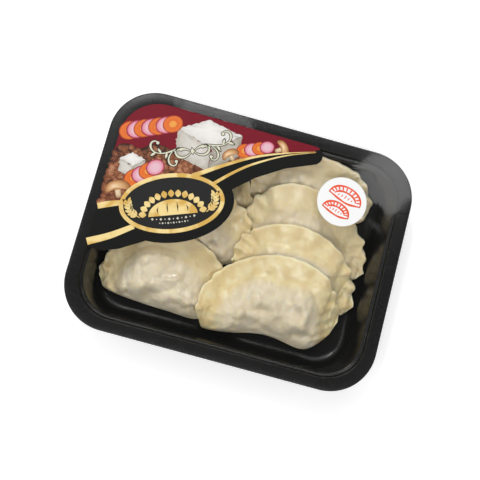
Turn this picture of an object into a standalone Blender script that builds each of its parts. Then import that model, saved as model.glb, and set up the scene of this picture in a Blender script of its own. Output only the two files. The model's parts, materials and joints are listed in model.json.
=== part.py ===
"""A sealed tray of seven half-moon dumplings: a black plastic tray with a rim, a clear film
sealed over it, a printed label and a round sticker on the film, and the dumplings inside.

Metres, +Z up. The origin is the middle of the tray's underside. +X runs along the tray's
long side, and -Y is the side that faces someone who reads the label.
"""

import math
from dataclasses import dataclass

import bmesh
import bpy
import numpy as np

MM = 0.001
GAP = 0.3 * MM  # air kept between pieces that touch

# ---------------------------------------------------------------- tray, film and label
TRAY_LENGTH = 227 * MM
TRAY_WIDTH = 178 * MM
TRAY_CORNER = 34 * MM  # outer corner radius of the rim
CORNER_TIGHTENING = 0.6  # share of an inset that the corner radius loses
CORNER_POINTS = 7
RIM_TOP = 39.4 * MM

WALL_FOOT = (16.6 * MM, 8.0 * MM)  # the straight wall's ends, as (inset, height)
WALL_HEAD = (11.9 * MM, 35.4 * MM)

# The tray's inner skin, from the middle of the floor to the outer lip, as (inset from the
# outer outline, height): floor panel, floor ring, bottom curve, wall, small step, rim, lip.
INNER_SKIN = [
    (38.0 * MM, 1.9 * MM),
    (35.5 * MM, 0.7 * MM),
    (23.5 * MM, 0.7 * MM),
    (20.4 * MM, 1.2 * MM),
    (18.4 * MM, 2.8 * MM),
    (17.2 * MM, 5.4 * MM),
    WALL_FOOT,
    WALL_HEAD,
    (11.3 * MM, 36.2 * MM),
    (10.0 * MM, 36.5 * MM),
    (9.3 * MM, 37.3 * MM),
    (9.1 * MM, 38.7 * MM),
    (8.4 * MM, RIM_TOP),
    (0.9 * MM, RIM_TOP),
    (0.0 * MM, 38.6 * MM),
    (0.0 * MM, 36.2 * MM),
]
# The outer skin, back from the lip to the middle of the underside.
OUTER_SKIN = [
    (0.7 * MM, 36.2 * MM),
    (0.7 * MM, 38.3 * MM),
    (1.2 * MM, 38.7 * MM),
    (8.1 * MM, 38.7 * MM),
    (8.5 * MM, 37.0 * MM),
    (9.6 * MM, 35.8 * MM),
    (10.7 * MM, 35.6 * MM),
    (11.2 * MM, 35.0 * MM),
    (15.9 * MM, 7.8 * MM),
    (16.6 * MM, 5.0 * MM),
    (18.0 * MM, 2.2 * MM),
    (20.2 * MM, 0.5 * MM),
    (23.5 * MM, 0.0 * MM),
    (34.6 * MM, 0.0 * MM),
    (37.2 * MM, 1.2 * MM),
]

FILM_INSET = 0.8 * MM
FILM_BOTTOM = RIM_TOP + GAP
FILM_TOP = FILM_BOTTOM + 0.3 * MM
PRINT_BOTTOM = FILM_TOP + GAP
PRINT_THICKNESS = 0.3 * MM

# The label fills the corner at -X +Y of the film's window. Its lower edge is a rising sweep,
# broken by an oval that stands below it.
LABEL_INSET = 8.2 * MM
LABEL_TIP = (34.5 * MM, 73.5 * MM)
LABEL_TIP_RADIUS = 7.0 * MM
OVAL_CENTRE = (-54.9 * MM, 11.5 * MM)
OVAL_HALF = (44.7 * MM, 28.7 * MM)
OVAL_TURN = 20.9
OVAL_ARC = (12.0, -118.0)  # the stretch of the oval that shows below the sweep, in degrees
SWEEP_RIGHT = [(17.0 * MM, 58.2 * MM), (-2.2 * MM, 45.6 * MM)]
SWEEP_LEFT = [(-82.0 * MM, -30.2 * MM), (-92.4 * MM, -34.4 * MM)]
SWEEP_START = -35.0 * MM

STICKER_CENTRE = (63.1 * MM, 45.7 * MM)
STICKER_RADIUS = 18.1 * MM

# ---------------------------------------------------------------- the dumplings
CRIMP_WIDTH = 14.0 * MM
CRIMP_PITCH = 10.0 * MM
RIDGE_HALF = 2.4 * MM  # half the crimp's thickness between two finger marks
MARK_HALF = 1.45 * MM  # and in the middle of a mark
LIP_HALF = 3.2 * MM
EDGE_ROUND = 2.4 * MM
SCALLOP = 1.2 * MM
LOBE_RATE = 1.4  # the ends' lobes, against their finger marks
LOBE_REACH = 0.35  # how far the lobes reach out, against how far they wave up and down
LOBE_CENTRE = (0.42, 0.36)  # where an end's lobes point, in half lengths and in heights
TIP_HEIGHT = 6.5 * MM
TIP_THICKNESS = 0.3  # share of the crimp's thickness that is left at the tips
TIP_INSET = 0.09  # share of the half length by which the fold ends before the tip
FAN_SHARE = 0.55  # how far the lines from fold to crimp stay fanned out, and where they close
FAN_POWER = 6
UNDERSIDE = 0.3  # depth of the underside's bulge against the top's
FULL_POCKET = 26 * MM  # width of the filled pocket at which the belly is at full height
FILLED_SHARE = (0.42, 0.92)  # shares of the half length where the filling thins and ends
DOME_POWER = 1.1
DOME_LEAN = 0.82  # below 1 the belly is highest nearer the fold
HEEL_PLACE = 0.61  # share of the half length at which the fold's right end bulges most
HEEL_WIDTH = 0.3


@dataclass
class Shape:
    """One dumpling: the middle of its folded edge, its turn about Z and its tilt in degrees,
    and its sizes. Lengths are in millimetres."""

    name: str
    x: float
    y: float
    turn: float
    tilt: float
    length: float
    height: float
    belly: float  # rise of the filled part above the seam
    lip: float  # width of the flat dough at the fold
    bow: float  # how far the fold bulges out in its middle
    heel: float  # and how much further near its right end
    lean: float  # how far the crimp's middle is shifted sideways
    ruffle: float  # rise and fall of the crimp near the tips
    stiffness: float  # 100 keeps it stiff on its highest support, and less lets it droop
    seed: int


# From the bottom of the pile to its top.
DUMPLINGS = [
    Shape("dumpling_back_right", 43.5, 40, 8, 40, 96, 49, 11.0, 2.0, 6, 2, -3, 3.0, 80, 11),
    Shape("dumpling_back_left", -43, 9, 17, 5, 100, 53, 11.0, 2.0, 6, 2, 0, 1.4, 25, 12),
    Shape("dumpling_third_right", 45.5, 4, -6, 17, 100, 50, 11.0, 2.0, 6, 2, -5, 3.6, 25, 13),
    Shape("dumpling_middle_left", -40, -18, 19, 12, 110, 53, 11.0, 2.0, 9, 2, 0, 1.6, 25, 14),
    Shape("dumpling_second_right", 45, -23, -5, 17, 98, 46, 11.0, 2.0, 6, 3, -8, 3.4, 25, 15),
    Shape("dumpling_front_left", -45.5, -52, 3, 12, 99, 47, 12.0, 1.2, 9, 3, 0, 1.6, 25, 16),
    Shape("dumpling_front_right", 35.5, -54, 12.5, 12, 107, 52, 12.0, 1.5, 6.5, 8, 0, 1.6, 25, 17),
]

# Where a cross-section has its points, as (zone, share of the zone): over the top from the
# folded edge to the crimped one, and back underneath.
TOP_POINTS = [
    ("lip", 0.0), ("lip", 0.5), ("belly", 0.0), ("belly", 0.2), ("belly", 0.38),
    ("belly", 0.56), ("belly", 0.76), ("crimp", 0.0), ("crimp", 0.55), ("crimp", 1.0),
]
UNDER_POINTS = [
    ("crimp", 0.6), ("crimp", 0.0), ("belly", 0.66), ("belly", 0.3), ("lip", 0.8),
]
STEPS_PER_MARK = 2

LAY_GRID = (73, 25)  # points along and across at which a dumpling feels the pile
SKIN_GRID = (361, 121)  # points along and across that it adds to the pile
PILE_STEP = 1.0 * MM
PILE_GAP = 0.9 * MM
REACH = 4.4 * MM  # how far round a point the pile is felt, so that the facets clear it
SETTLE_ROUNDS = 2
SOFTEN_ROUNDS = 60
GIVE = 0.3  # share of a lift by which a belly flattens instead of rising
HEADROOM = 0.7 * MM
CEILING_SOFTNESS = 4.0 * MM
THINNEST = 1.8 * MM
EDGE_SHARE = 0.08  # share across in which an edge thins to nothing

BLACK_PLASTIC = (0.017, 0.018, 0.017, 1.0)
DOUGH = (0.62, 0.53, 0.34, 1.0)
CLEAR_FILM = (0.9, 0.92, 0.93, 0.12)
BURGUNDY = (0.195, 0.016, 0.03, 1.0)
WHITE_PAPER = (0.9, 0.9, 0.88, 1.0)


# ---------------------------------------------------------------- helpers
def material(name, colour, roughness):
    mat = bpy.data.materials.new(name)
    mat.use_nodes = True
    shader = mat.node_tree.nodes["Principled BSDF"]
    shader.inputs["Base Color"].default_value = colour
    shader.inputs["Alpha"].default_value = colour[3]
    shader.inputs["Roughness"].default_value = roughness
    mat.diffuse_color = colour
    return mat


def loft(rings):
    """Vertices and faces of a closed tube through rings of equally many points."""
    count = len(rings[0])
    vertices = [point for ring in rings for point in ring]
    faces = []
    for i in range(len(rings) - 1):
        for j in range(count):
            k = (j + 1) % count
            faces.append((i * count + j, i * count + k, (i + 1) * count + k, (i + 1) * count + j))
    faces.append(tuple(reversed(range(count))))
    faces.append(tuple((len(rings) - 1) * count + j for j in range(count)))
    return vertices, faces


def add_solid(name, rings, mat):
    """A closed solid lofted through rings, with its faces pointing out."""
    vertices, faces = loft(rings)
    mesh = bpy.data.meshes.new(name)
    mesh.from_pydata([tuple(float(c) for c in v) for v in vertices], [], faces)
    work = bmesh.new()
    work.from_mesh(mesh)
    bmesh.ops.recalc_face_normals(work, faces=work.faces)
    work.to_mesh(mesh)
    work.free()
    mesh.materials.append(mat)
    mesh.shade_smooth()
    mesh.set_sharp_from_angle(angle=math.radians(40))
    obj = bpy.data.objects.new(name, mesh)
    bpy.context.scene.collection.objects.link(obj)
    return obj


def arc(centre, radii, turn, start, end, count):
    """Points of an ellipse's arc. Angles are in degrees, and turn tips the whole ellipse."""
    points = []
    cos_turn, sin_turn = math.cos(math.radians(turn)), math.sin(math.radians(turn))
    for step in range(count):
        angle = math.radians(start + (end - start) * step / (count - 1))
        x, y = radii[0] * math.cos(angle), radii[1] * math.sin(angle)
        points.append((centre[0] + x * cos_turn - y * sin_turn,
                       centre[1] + x * sin_turn + y * cos_turn))
    return points


# ---------------------------------------------------------------- tray
def corner_radius(inset):
    return TRAY_CORNER - CORNER_TIGHTENING * inset


def corner(inset, sx, sy):
    """One corner of the tray's outline moved inwards, anticlockwise."""
    radius = corner_radius(inset)
    centre = (sx * (TRAY_LENGTH / 2 - inset - radius), sy * (TRAY_WIDTH / 2 - inset - radius))
    start = {(1, 1): 0, (-1, 1): 90, (-1, -1): 180, (1, -1): 270}[sx, sy]
    return arc(centre, (radius, radius), 0, start, start + 90, CORNER_POINTS)


def rounded_outline(inset):
    return [p for s in [(1, 1), (-1, 1), (-1, -1), (1, -1)] for p in corner(inset, *s)]


def make_tray(mat):
    rings = []
    for inset, height in INNER_SKIN + OUTER_SKIN:
        rings.append([(x, y, height) for x, y in rounded_outline(inset)])
    return add_solid("tray", rings, mat)


def inset_at(x, y):
    """How far inside the tray's outer outline each point lies, found by halving."""
    low = np.full(x.shape, -60 * MM)
    high = np.full(x.shape, TRAY_WIDTH / 2)
    for _ in range(24):
        inset = (low + high) / 2
        radius = np.maximum(corner_radius(inset), 0.0)
        over_x = np.abs(x) - (TRAY_LENGTH / 2 - inset - radius)
        over_y = np.abs(y) - (TRAY_WIDTH / 2 - inset - radius)
        beyond = np.hypot(np.maximum(over_x, 0), np.maximum(over_y, 0))
        inside = beyond + np.minimum(np.maximum(over_x, over_y), 0) < radius
        low = np.where(inside, inset, low)
        high = np.where(inside, high, inset)
    return (low + high) / 2


def floor_height(x, y):
    """The height of the tray's floor up to the foot of its wall."""
    skin = sorted(INNER_SKIN[:INNER_SKIN.index(WALL_HEAD)])
    return np.interp(inset_at(x, y), [p[0] for p in skin], [p[1] for p in skin])


def keep_off_wall(points):
    """Moves points that reach into the tray's wall straight inwards."""
    x, y, z = np.moveaxis(points, -1, 0)
    wall = np.interp(z, [WALL_FOOT[1], WALL_HEAD[1]], [WALL_FOOT[0], WALL_HEAD[0]])
    push = np.maximum(wall + PILE_GAP - inset_at(x, y), 0)
    inwards_x = inset_at(x + MM, y) - inset_at(x - MM, y)
    inwards_y = inset_at(x, y + MM) - inset_at(x, y - MM)
    length = np.maximum(np.hypot(inwards_x, inwards_y), 1e-9)
    return np.stack([x + push * inwards_x / length, y + push * inwards_y / length, z], axis=-1)


# ---------------------------------------------------------------- film, label and sticker
def plate(name, outline, bottom, thickness, mat):
    rings = [[(x, y, z) for x, y in outline] for z in (bottom, bottom + thickness)]
    return add_solid(name, rings, mat)


def label_outline():
    """From the foot of the label's left edge, clockwise round its corner and its tip, and
    back along the sweep and the oval."""
    left = -(TRAY_LENGTH / 2 - LABEL_INSET)
    outline = [(left, SWEEP_START)]
    outline += reversed(corner(LABEL_INSET, -1, 1))
    outline += arc(LABEL_TIP, (LABEL_TIP_RADIUS, LABEL_TIP_RADIUS), 0, 80, -60, 6)
    outline += SWEEP_RIGHT
    outline += arc(OVAL_CENTRE, OVAL_HALF, OVAL_TURN, *OVAL_ARC, 14)
    return outline + SWEEP_LEFT


def sticker_outline():
    return arc(STICKER_CENTRE, (STICKER_RADIUS, STICKER_RADIUS), 0, 0, 345, 24)


# ---------------------------------------------------------------- the pile
class Pile:
    """A height map of everything that lies in the tray so far."""

    def __init__(self):
        self.low = (-TRAY_LENGTH / 2, -TRAY_WIDTH / 2)
        self.count = (round(TRAY_LENGTH / PILE_STEP) + 1, round(TRAY_WIDTH / PILE_STEP) + 1)
        x = self.low[0] + PILE_STEP * np.arange(self.count[0])
        y = self.low[1] + PILE_STEP * np.arange(self.count[1])
        self.height = floor_height(*np.meshgrid(x, y, indexing="ij"))

    def cell(self, x, y):
        i = np.rint((x - self.low[0]) / PILE_STEP).astype(int)
        j = np.rint((y - self.low[1]) / PILE_STEP).astype(int)
        return np.clip(i, 0, self.count[0] - 1), np.clip(j, 0, self.count[1] - 1)

    def add(self, points):
        np.maximum.at(self.height, self.cell(points[..., 0], points[..., 1]), points[..., 2])

    def below(self, points):
        """The highest part of the pile within REACH of each point."""
        x, y = points[..., 0], points[..., 1]
        found = self.height[self.cell(x, y)]
        for radius in (REACH / 2, REACH):
            for turn in range(8):
                angle = turn * math.pi / 4
                near = self.cell(x + radius * math.cos(angle), y + radius * math.sin(angle))
                found = np.maximum(found, self.height[near])
        return found


# ---------------------------------------------------------------- one dumpling
class Ripple:
    """A smooth random relief of about unit height, along one or two parameters."""

    def __init__(self, rng, shortest, longest, waves=8):
        heading = rng.uniform(0, 2 * math.pi, waves)
        pitch = rng.uniform(shortest, longest, waves)
        self.rate = 2 * math.pi / pitch * np.array([np.cos(heading), np.sin(heading)])
        self.start = rng.uniform(0, 2 * math.pi, waves)

    def __call__(self, x, y=0.0):
        total = 0.0
        for rate_x, rate_y, start in zip(*self.rate, self.start):
            total = total + np.sin(rate_x * x + rate_y * y + start)
        return total * math.sqrt(2 / len(self.start))


def smooth_step(low, high, value):
    t = np.clip((value - low) / (high - low), 0, 1)
    return t * t * (3 - 2 * t)


def rounded(distance):
    """Share of the full thickness at a distance from a rounded edge."""
    inwards = np.clip(distance / EDGE_ROUND, 0, 1)
    return np.sqrt(1 - (1 - inwards) ** 2)


def between_grid(field, along, across):
    """Values of a field that is known on an even grid over (-1..1, 0..1)."""
    i = np.clip((along + 1) / 2 * (field.shape[0] - 1), 0, field.shape[0] - 1.001)
    j = np.clip(across * (field.shape[1] - 1), 0, field.shape[1] - 1.001)
    i0, j0 = i.astype(int), j.astype(int)
    fi, fj = i - i0, j - j0
    low = field[i0, j0] * (1 - fj) + field[i0, j0 + 1] * fj
    high = field[i0 + 1, j0] * (1 - fj) + field[i0 + 1, j0 + 1] * fj
    return low * (1 - fi) + high * fi


class Dumpling:
    """A disc of dough folded over its filling. Its surface is given by along, from -1 at one
    tip to 1 at the other, and across, from 0 at the fold to 1 at the crimped edge."""

    def __init__(self, shape):
        self.shape = shape
        self.length, self.height = shape.length * MM, shape.height * MM
        self.marks = round(1.5 * self.length / CRIMP_PITCH)
        rng = np.random.default_rng(shape.seed)
        self.uneven_height = Ripple(rng, 0.8, 2.0)
        self.uneven_fold = Ripple(rng, 0.5, 1.5)
        self.uneven_crimp = Ripple(rng, 0.4, 1.2)
        self.uneven_marks = Ripple(rng, 0.5, 1.2)
        self.lumps = Ripple(rng, 10 * MM, 22 * MM)
        self.ruffle_start = rng.uniform(0, 2 * math.pi)
        self.uneven_lip = Ripple(rng, 0.2, 0.7)
        self.lift = None

    def phase(self, along):
        """Turns by pi from one finger mark of the crimp to the next."""
        return math.pi * (self.marks * (along + 1) / 2 + 0.12 * self.uneven_marks(along))

    def lobes(self, along):
        """How the crimped edge waves at the two ends, from -1 to 1."""
        wave = np.sin(LOBE_RATE * self.phase(along) + self.ruffle_start)
        return wave * smooth_step(0.25, 0.75, np.abs(along))

    def outline(self, along):
        """The fold and the crimped edge as local (x, y), and how deep in a mark we are."""
        sine, cosine = np.sin(along * math.pi / 2), np.cos(along * math.pi / 2)
        mark = np.abs(np.sin(self.phase(along)))
        scallop = SCALLOP * (0.35 + 0.5 * along ** 2) * (mark ** 0.8 - 0.6)
        scallop = scallop + LOBE_REACH * self.shape.ruffle * MM * self.lobes(along)
        top = (self.height - TIP_HEIGHT) * cosine ** 0.9 * (1 + 0.03 * self.uneven_height(along))
        crimp_x = (self.length / 2 + scallop) * sine + self.shape.lean * MM * cosine
        crimp_y = TIP_HEIGHT + top + scallop * cosine
        fanned = sine * (FAN_SHARE + (1 - FAN_SHARE) * np.abs(sine) ** FAN_POWER)
        fold_x = self.length / 2 * (1 - TIP_INSET) * fanned
        bulge = self.shape.bow * np.sqrt(1 - fanned ** 2) * (1 + 0.25 * fanned)
        bulge = bulge + self.shape.heel * np.exp(-((fanned - HEEL_PLACE) / HEEL_WIDTH) ** 2)
        fold_y = -bulge * MM + 0.7 * MM * self.uneven_fold(along)
        return fold_x, fold_y, crimp_x, crimp_y, mark

    def facing(self, x, y):
        """The along of the crimped edge that a local point faces, seen from the centre of its
        end, and the point's share of the way from that centre to the edge."""
        centre_x, centre_y = LOBE_CENTRE[0] * self.length / 2, LOBE_CENTRE[1] * self.height
        places = np.linspace(0, 1, 160)
        found, share = np.zeros_like(x), np.zeros_like(x)
        for end in (-1, 1):
            _, _, edge_x, edge_y, _ = self.outline(end * places)
            edge_x, own_x = end * edge_x - centre_x, end * x - centre_x
            edge_y, own_y = edge_y - centre_y, y - centre_y
            edge_angle = np.maximum.accumulate(np.arctan2(edge_x, edge_y))
            place = np.interp(np.arctan2(own_x, own_y), edge_angle, places)
            edge = np.interp(place, places, np.hypot(edge_x, edge_y))
            found = np.where(end * x > 0, end * place, found)
            share = np.where(end * x > 0, np.hypot(own_x, own_y) / edge, share)
        return found, share

    def zones(self, along, span):
        """The shares across at which the lip at the fold ends and the crimp begins."""
        lip = self.shape.lip * MM * np.clip(1 + 0.28 * self.uneven_lip(along), 0.25, 2)
        lip_end = np.minimum(lip / span, 0.22)
        crimp_width = CRIMP_WIDTH * (1 + 0.14 * self.uneven_crimp(along))
        return lip_end, np.maximum(1 - crimp_width / span, lip_end + 0.15)

    def pocket(self, x, depth):
        """How full the belly is, from 0 to 1: less near the tips and where it is narrow."""
        from_middle = np.abs(x) / (self.length / 2)
        return smooth_step(0, FULL_POCKET, depth) * (1 - smooth_step(*FILLED_SHARE, from_middle))

    def across(self, along, zone, share):
        fold_x, fold_y, crimp_x, crimp_y, _ = self.outline(along)
        span = np.hypot(crimp_x - fold_x, crimp_y - fold_y)
        lip_end, seam = self.zones(along, span)
        start, end = {"lip": (0, lip_end), "belly": (lip_end, seam), "crimp": (seam, 1)}[zone]
        return start + share * (end - start)

    def local(self, along, across, side):
        """Local points. x runs from tip to tip, y from the fold to the crimp, and z up
        through the belly. side is 1 on top and -1 underneath."""
        fold_x, fold_y, crimp_x, crimp_y, mark = self.outline(along)
        span = np.hypot(crimp_x - fold_x, crimp_y - fold_y)
        lip_end, seam = self.zones(along, span)
        x = fold_x + across * (crimp_x - fold_x)
        y = fold_y + across * (crimp_y - fold_y)

        # Flat dough: the lip at the fold and the crimp, both with rounded edges.
        crimped = smooth_step(seam - 0.04, seam + 0.08, across)
        marked = mark * (0.35 + 0.65 * along ** 2)
        half = LIP_HALF + crimped * (RIDGE_HALF + (MARK_HALF - RIDGE_HALF) * marked - LIP_HALF)
        to_tip = self.length / 2 * (1 - np.abs(np.sin(along * math.pi / 2)))
        half = half * rounded(np.minimum(across, 1 - across) * span)
        half = half * np.maximum(rounded(to_tip), TIP_THICKNESS)

        # The belly over the filling, with lumps, and puckers where the marks begin.
        q = np.clip((across - lip_end) / (seam - lip_end), 0, 1)
        dome = np.sin(math.pi * q ** DOME_LEAN) ** DOME_POWER
        pocket = self.pocket(x, (seam - lip_end) * span)
        relief = 1 + 0.08 * self.lumps(x, y) + 0.04 * (mark - 0.6) * smooth_step(0.4, 0.9, q)
        rise = self.shape.belly * MM * pocket * dome * relief

        # The flat dough waves up and down, a little along the crimp and much near the tips.
        beyond = np.clip((across - seam) / (1 - seam), 0, 1)
        wave = np.sin(self.phase(along) * 0.9 + self.ruffle_start)
        place, share = self.facing(x, y)
        outer = smooth_step(0.35, 1, share) * smooth_step(0.02, 0.4, across) * (1 - pocket)
        ruffle = self.shape.ruffle * MM * (0.3 * wave * beyond + 0.5 * self.lobes(place) * outer)
        z = ruffle + np.where(side > 0, half + rise, -half - UNDERSIDE * rise)
        return np.stack([x, y, z + np.zeros_like(x)], axis=-1)

    def placed(self, along, across, side):
        """Points in the tray before the dumpling settles, with the fold's middle as hinge."""
        tilt, turn = math.radians(self.shape.tilt), math.radians(self.shape.turn)
        x, y, z = np.moveaxis(self.local(along, across, side), -1, 0)
        back = y * math.cos(tilt) - z * math.sin(tilt)
        up = y * math.sin(tilt) + z * math.cos(tilt)
        return np.stack([x * math.cos(turn) - back * math.sin(turn) + self.shape.x * MM,
                         x * math.sin(turn) + back * math.cos(turn) + self.shape.y * MM,
                         up], axis=-1)

    def settle(self, pile):
        """Finds the lift of each part that lays the dumpling on the pile, softly."""
        along, across = even_grid(LAY_GRID)
        under = self.placed(along, across, -1)
        lift = np.zeros(under.shape[:-1])
        for _ in range(SETTLE_ROUNDS):
            lifted = under + lift[..., None] * (0, 0, 1)
            needed = pile.below(keep_off_wall(lifted)) + PILE_GAP - under[..., 2]
            lift = np.maximum(needed, np.percentile(needed, self.shape.stiffness))
            for _ in range(SOFTEN_ROUNDS):
                edge = np.pad(lift, 1, mode="edge")
                beside = edge[:-2, 1:-1] + edge[2:, 1:-1] + edge[1:-1, :-2] + edge[1:-1, 2:]
                lift = np.maximum(beside / 4, needed)
        self.lift = lift
        pile.add(self.surface(*even_grid(SKIN_GRID), 1))

    def surface(self, along, across, side):
        """Points of the settled dumpling. The top keeps under the film, the underside keeps
        under the top, and both keep off the tray's wall."""
        along, across = np.broadcast_arrays(along, across)
        lift = between_grid(self.lift, along, across)
        top = self.placed(along, across, 1)
        under = self.placed(along, across, -1)
        filled = np.clip((top[..., 2] - under[..., 2]) / (10 * MM), 0, 1)
        top[..., 2] += lift - GIVE * filled * (lift - self.lift.min())
        soft_from = FILM_BOTTOM - HEADROOM - CEILING_SOFTNESS
        over = np.maximum(top[..., 2] - soft_from, 0) / CEILING_SOFTNESS
        top[..., 2] = np.minimum(top[..., 2], soft_from) + CEILING_SOFTNESS * np.tanh(over)
        from_edge = np.minimum(across, 1 - across) / EDGE_SHARE
        thickness = THINNEST * np.sqrt(np.clip(from_edge, 0, 1))
        under[..., 2] = np.minimum(under[..., 2] + lift, top[..., 2] - thickness)
        return keep_off_wall(top if side > 0 else under)


def even_grid(counts):
    return np.linspace(-1, 1, counts[0])[:, None], np.linspace(0, 1, counts[1])[None, :]


def make_dumpling(shape, pile, mat):
    dumpling = Dumpling(shape)
    dumpling.settle(pile)
    along = np.linspace(-1, 1, STEPS_PER_MARK * dumpling.marks + 1)
    columns = []
    for side, points in ((1, TOP_POINTS), (-1, UNDER_POINTS)):
        for zone, share in points:
            columns.append(dumpling.surface(along, dumpling.across(along, zone, share), side))
    return add_solid(shape.name, np.stack(columns, axis=1), mat)


def build():
    for obj in list(bpy.data.objects):
        bpy.data.objects.remove(obj)
    make_tray(material("black_plastic", BLACK_PLASTIC, 0.3))
    film = material("clear_film", CLEAR_FILM, 0.08)
    plate("film", rounded_outline(FILM_INSET), FILM_BOTTOM, FILM_TOP - FILM_BOTTOM, film)
    burgundy = material("printed_label", BURGUNDY, 0.35)
    plate("label", label_outline(), PRINT_BOTTOM, PRINT_THICKNESS, burgundy)
    paper = material("sticker_paper", WHITE_PAPER, 0.5)
    plate("sticker", sticker_outline(), PRINT_BOTTOM, PRINT_THICKNESS, paper)
    dough = material("dough", DOUGH, 0.4)
    pile = Pile()
    for shape in DUMPLINGS:
        make_dumpling(shape, pile, dough)


build()
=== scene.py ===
"""Seven boiled half-moon dumplings in a black plastic tray, sealed with clear film. A printed
label and a round sticker lie on the film."""

import json
import math

import bmesh
import bpy
import numpy as np
from mathutils import Matrix, Vector

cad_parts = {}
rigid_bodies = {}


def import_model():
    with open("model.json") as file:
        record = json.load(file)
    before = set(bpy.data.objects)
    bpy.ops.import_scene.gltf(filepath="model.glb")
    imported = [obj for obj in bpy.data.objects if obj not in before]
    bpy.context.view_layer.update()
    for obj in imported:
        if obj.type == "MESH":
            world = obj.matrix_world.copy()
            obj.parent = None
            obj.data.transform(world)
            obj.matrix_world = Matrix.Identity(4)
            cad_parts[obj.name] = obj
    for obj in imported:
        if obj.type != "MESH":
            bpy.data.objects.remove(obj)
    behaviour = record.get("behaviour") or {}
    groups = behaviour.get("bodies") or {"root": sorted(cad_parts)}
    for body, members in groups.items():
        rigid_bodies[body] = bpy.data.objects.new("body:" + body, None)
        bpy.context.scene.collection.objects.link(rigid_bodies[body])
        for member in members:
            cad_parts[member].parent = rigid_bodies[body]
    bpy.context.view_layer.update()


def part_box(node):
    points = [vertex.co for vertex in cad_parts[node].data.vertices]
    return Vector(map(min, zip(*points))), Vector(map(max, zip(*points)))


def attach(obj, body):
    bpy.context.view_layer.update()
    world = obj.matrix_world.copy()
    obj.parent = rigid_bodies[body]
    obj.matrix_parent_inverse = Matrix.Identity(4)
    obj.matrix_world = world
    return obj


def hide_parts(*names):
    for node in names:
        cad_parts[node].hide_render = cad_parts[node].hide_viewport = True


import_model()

# ---------------------------------------------------------------- the tray
# Formed from one sheet of black plastic over a mould, so its wall is thin and every edge is
# round. The foot is a flat ring round a raised panel. The rim has a small step inside it and
# turns down at its outer edge.

MM = 0.001
TRAY_LOW, TRAY_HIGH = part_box("tray")
TRAY_LENGTH = TRAY_HIGH.x - TRAY_LOW.x
TRAY_WIDTH = TRAY_HIGH.y - TRAY_LOW.y
RIM_TOP = TRAY_HIGH.z
TRAY_CORNER = 34 * MM  # outer corner radius of the rim
CORNER_TIGHTENING = 0.6  # share of an inset that the corner radius loses
TRAY_CORNER_POINTS = 28
WALL_FOOT = (16.6 * MM, 8.0 * MM)  # the straight wall's ends, as (inset, height)
WALL_HEAD = (11.9 * MM, 35.4 * MM)
TOP = RIM_TOP / MM
# Corners of the sheet's profile, as (inset, height, rounding) in millimetres: up the inside
# and back down the outside.
TRAY_PROFILE = [[value * MM for value in corner] for corner in (
    (39.0, 1.9, 0.0), (37.4, 1.9, 1.2), (35.2, 0.7, 1.2), (17.8, 0.7, 6.4), (11.8, 35.9, 0.9),
    (9.4, 36.5, 0.8), (8.9, TOP, 0.9), (0.0, TOP, 1.0), (0.0, 36.2, 0.25), (0.7, 36.2, 0.25),
    (0.7, TOP - 0.7, 0.4), (8.2, TOP - 0.7, 0.4), (8.8, 35.8, 0.8), (11.1, 35.4, 0.8),
    (17.3, 0.0, 6.6), (34.7, 0.0, 0.8), (37.0, 1.2, 0.8), (39.0, 1.2, 0.0))]
CORNER_STEPS = 5  # points of a rounded corner
MOST_ROUNDED = 0.48  # share of a side that a rounding may take at each end


class Value:
    """A value in a shader. Arithmetic on it adds the Math nodes."""

    def __init__(self, finish, socket):
        self.finish = finish
        self.socket = socket

    def math(self, operation, *values, clamp=False):
        settings = {"operation": operation, "use_clamp": clamp}
        return self.finish.node("ShaderNodeMath", settings, dict(enumerate(values)))

    def __add__(self, other):
        return self.math("ADD", self, other)

    def __radd__(self, other):
        return self.math("ADD", other, self)

    def __sub__(self, other):
        return self.math("SUBTRACT", self, other)

    def __rsub__(self, other):
        return self.math("SUBTRACT", other, self)

    def __mul__(self, other):
        return self.math("MULTIPLY", self, other)

    def __rmul__(self, other):
        return self.math("MULTIPLY", other, self)

    def clamped(self):
        return self.math("ADD", self, 0.0, clamp=True)

    def between(self, low, high):
        """0 below low and 1 above high, with a smooth step between them."""
        return self.finish.node("ShaderNodeMapRange", {"interpolation_type": "SMOOTHSTEP"},
                                {0: self, 1: low, 2: high, 3: 0.0, 4: 1.0})


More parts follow.
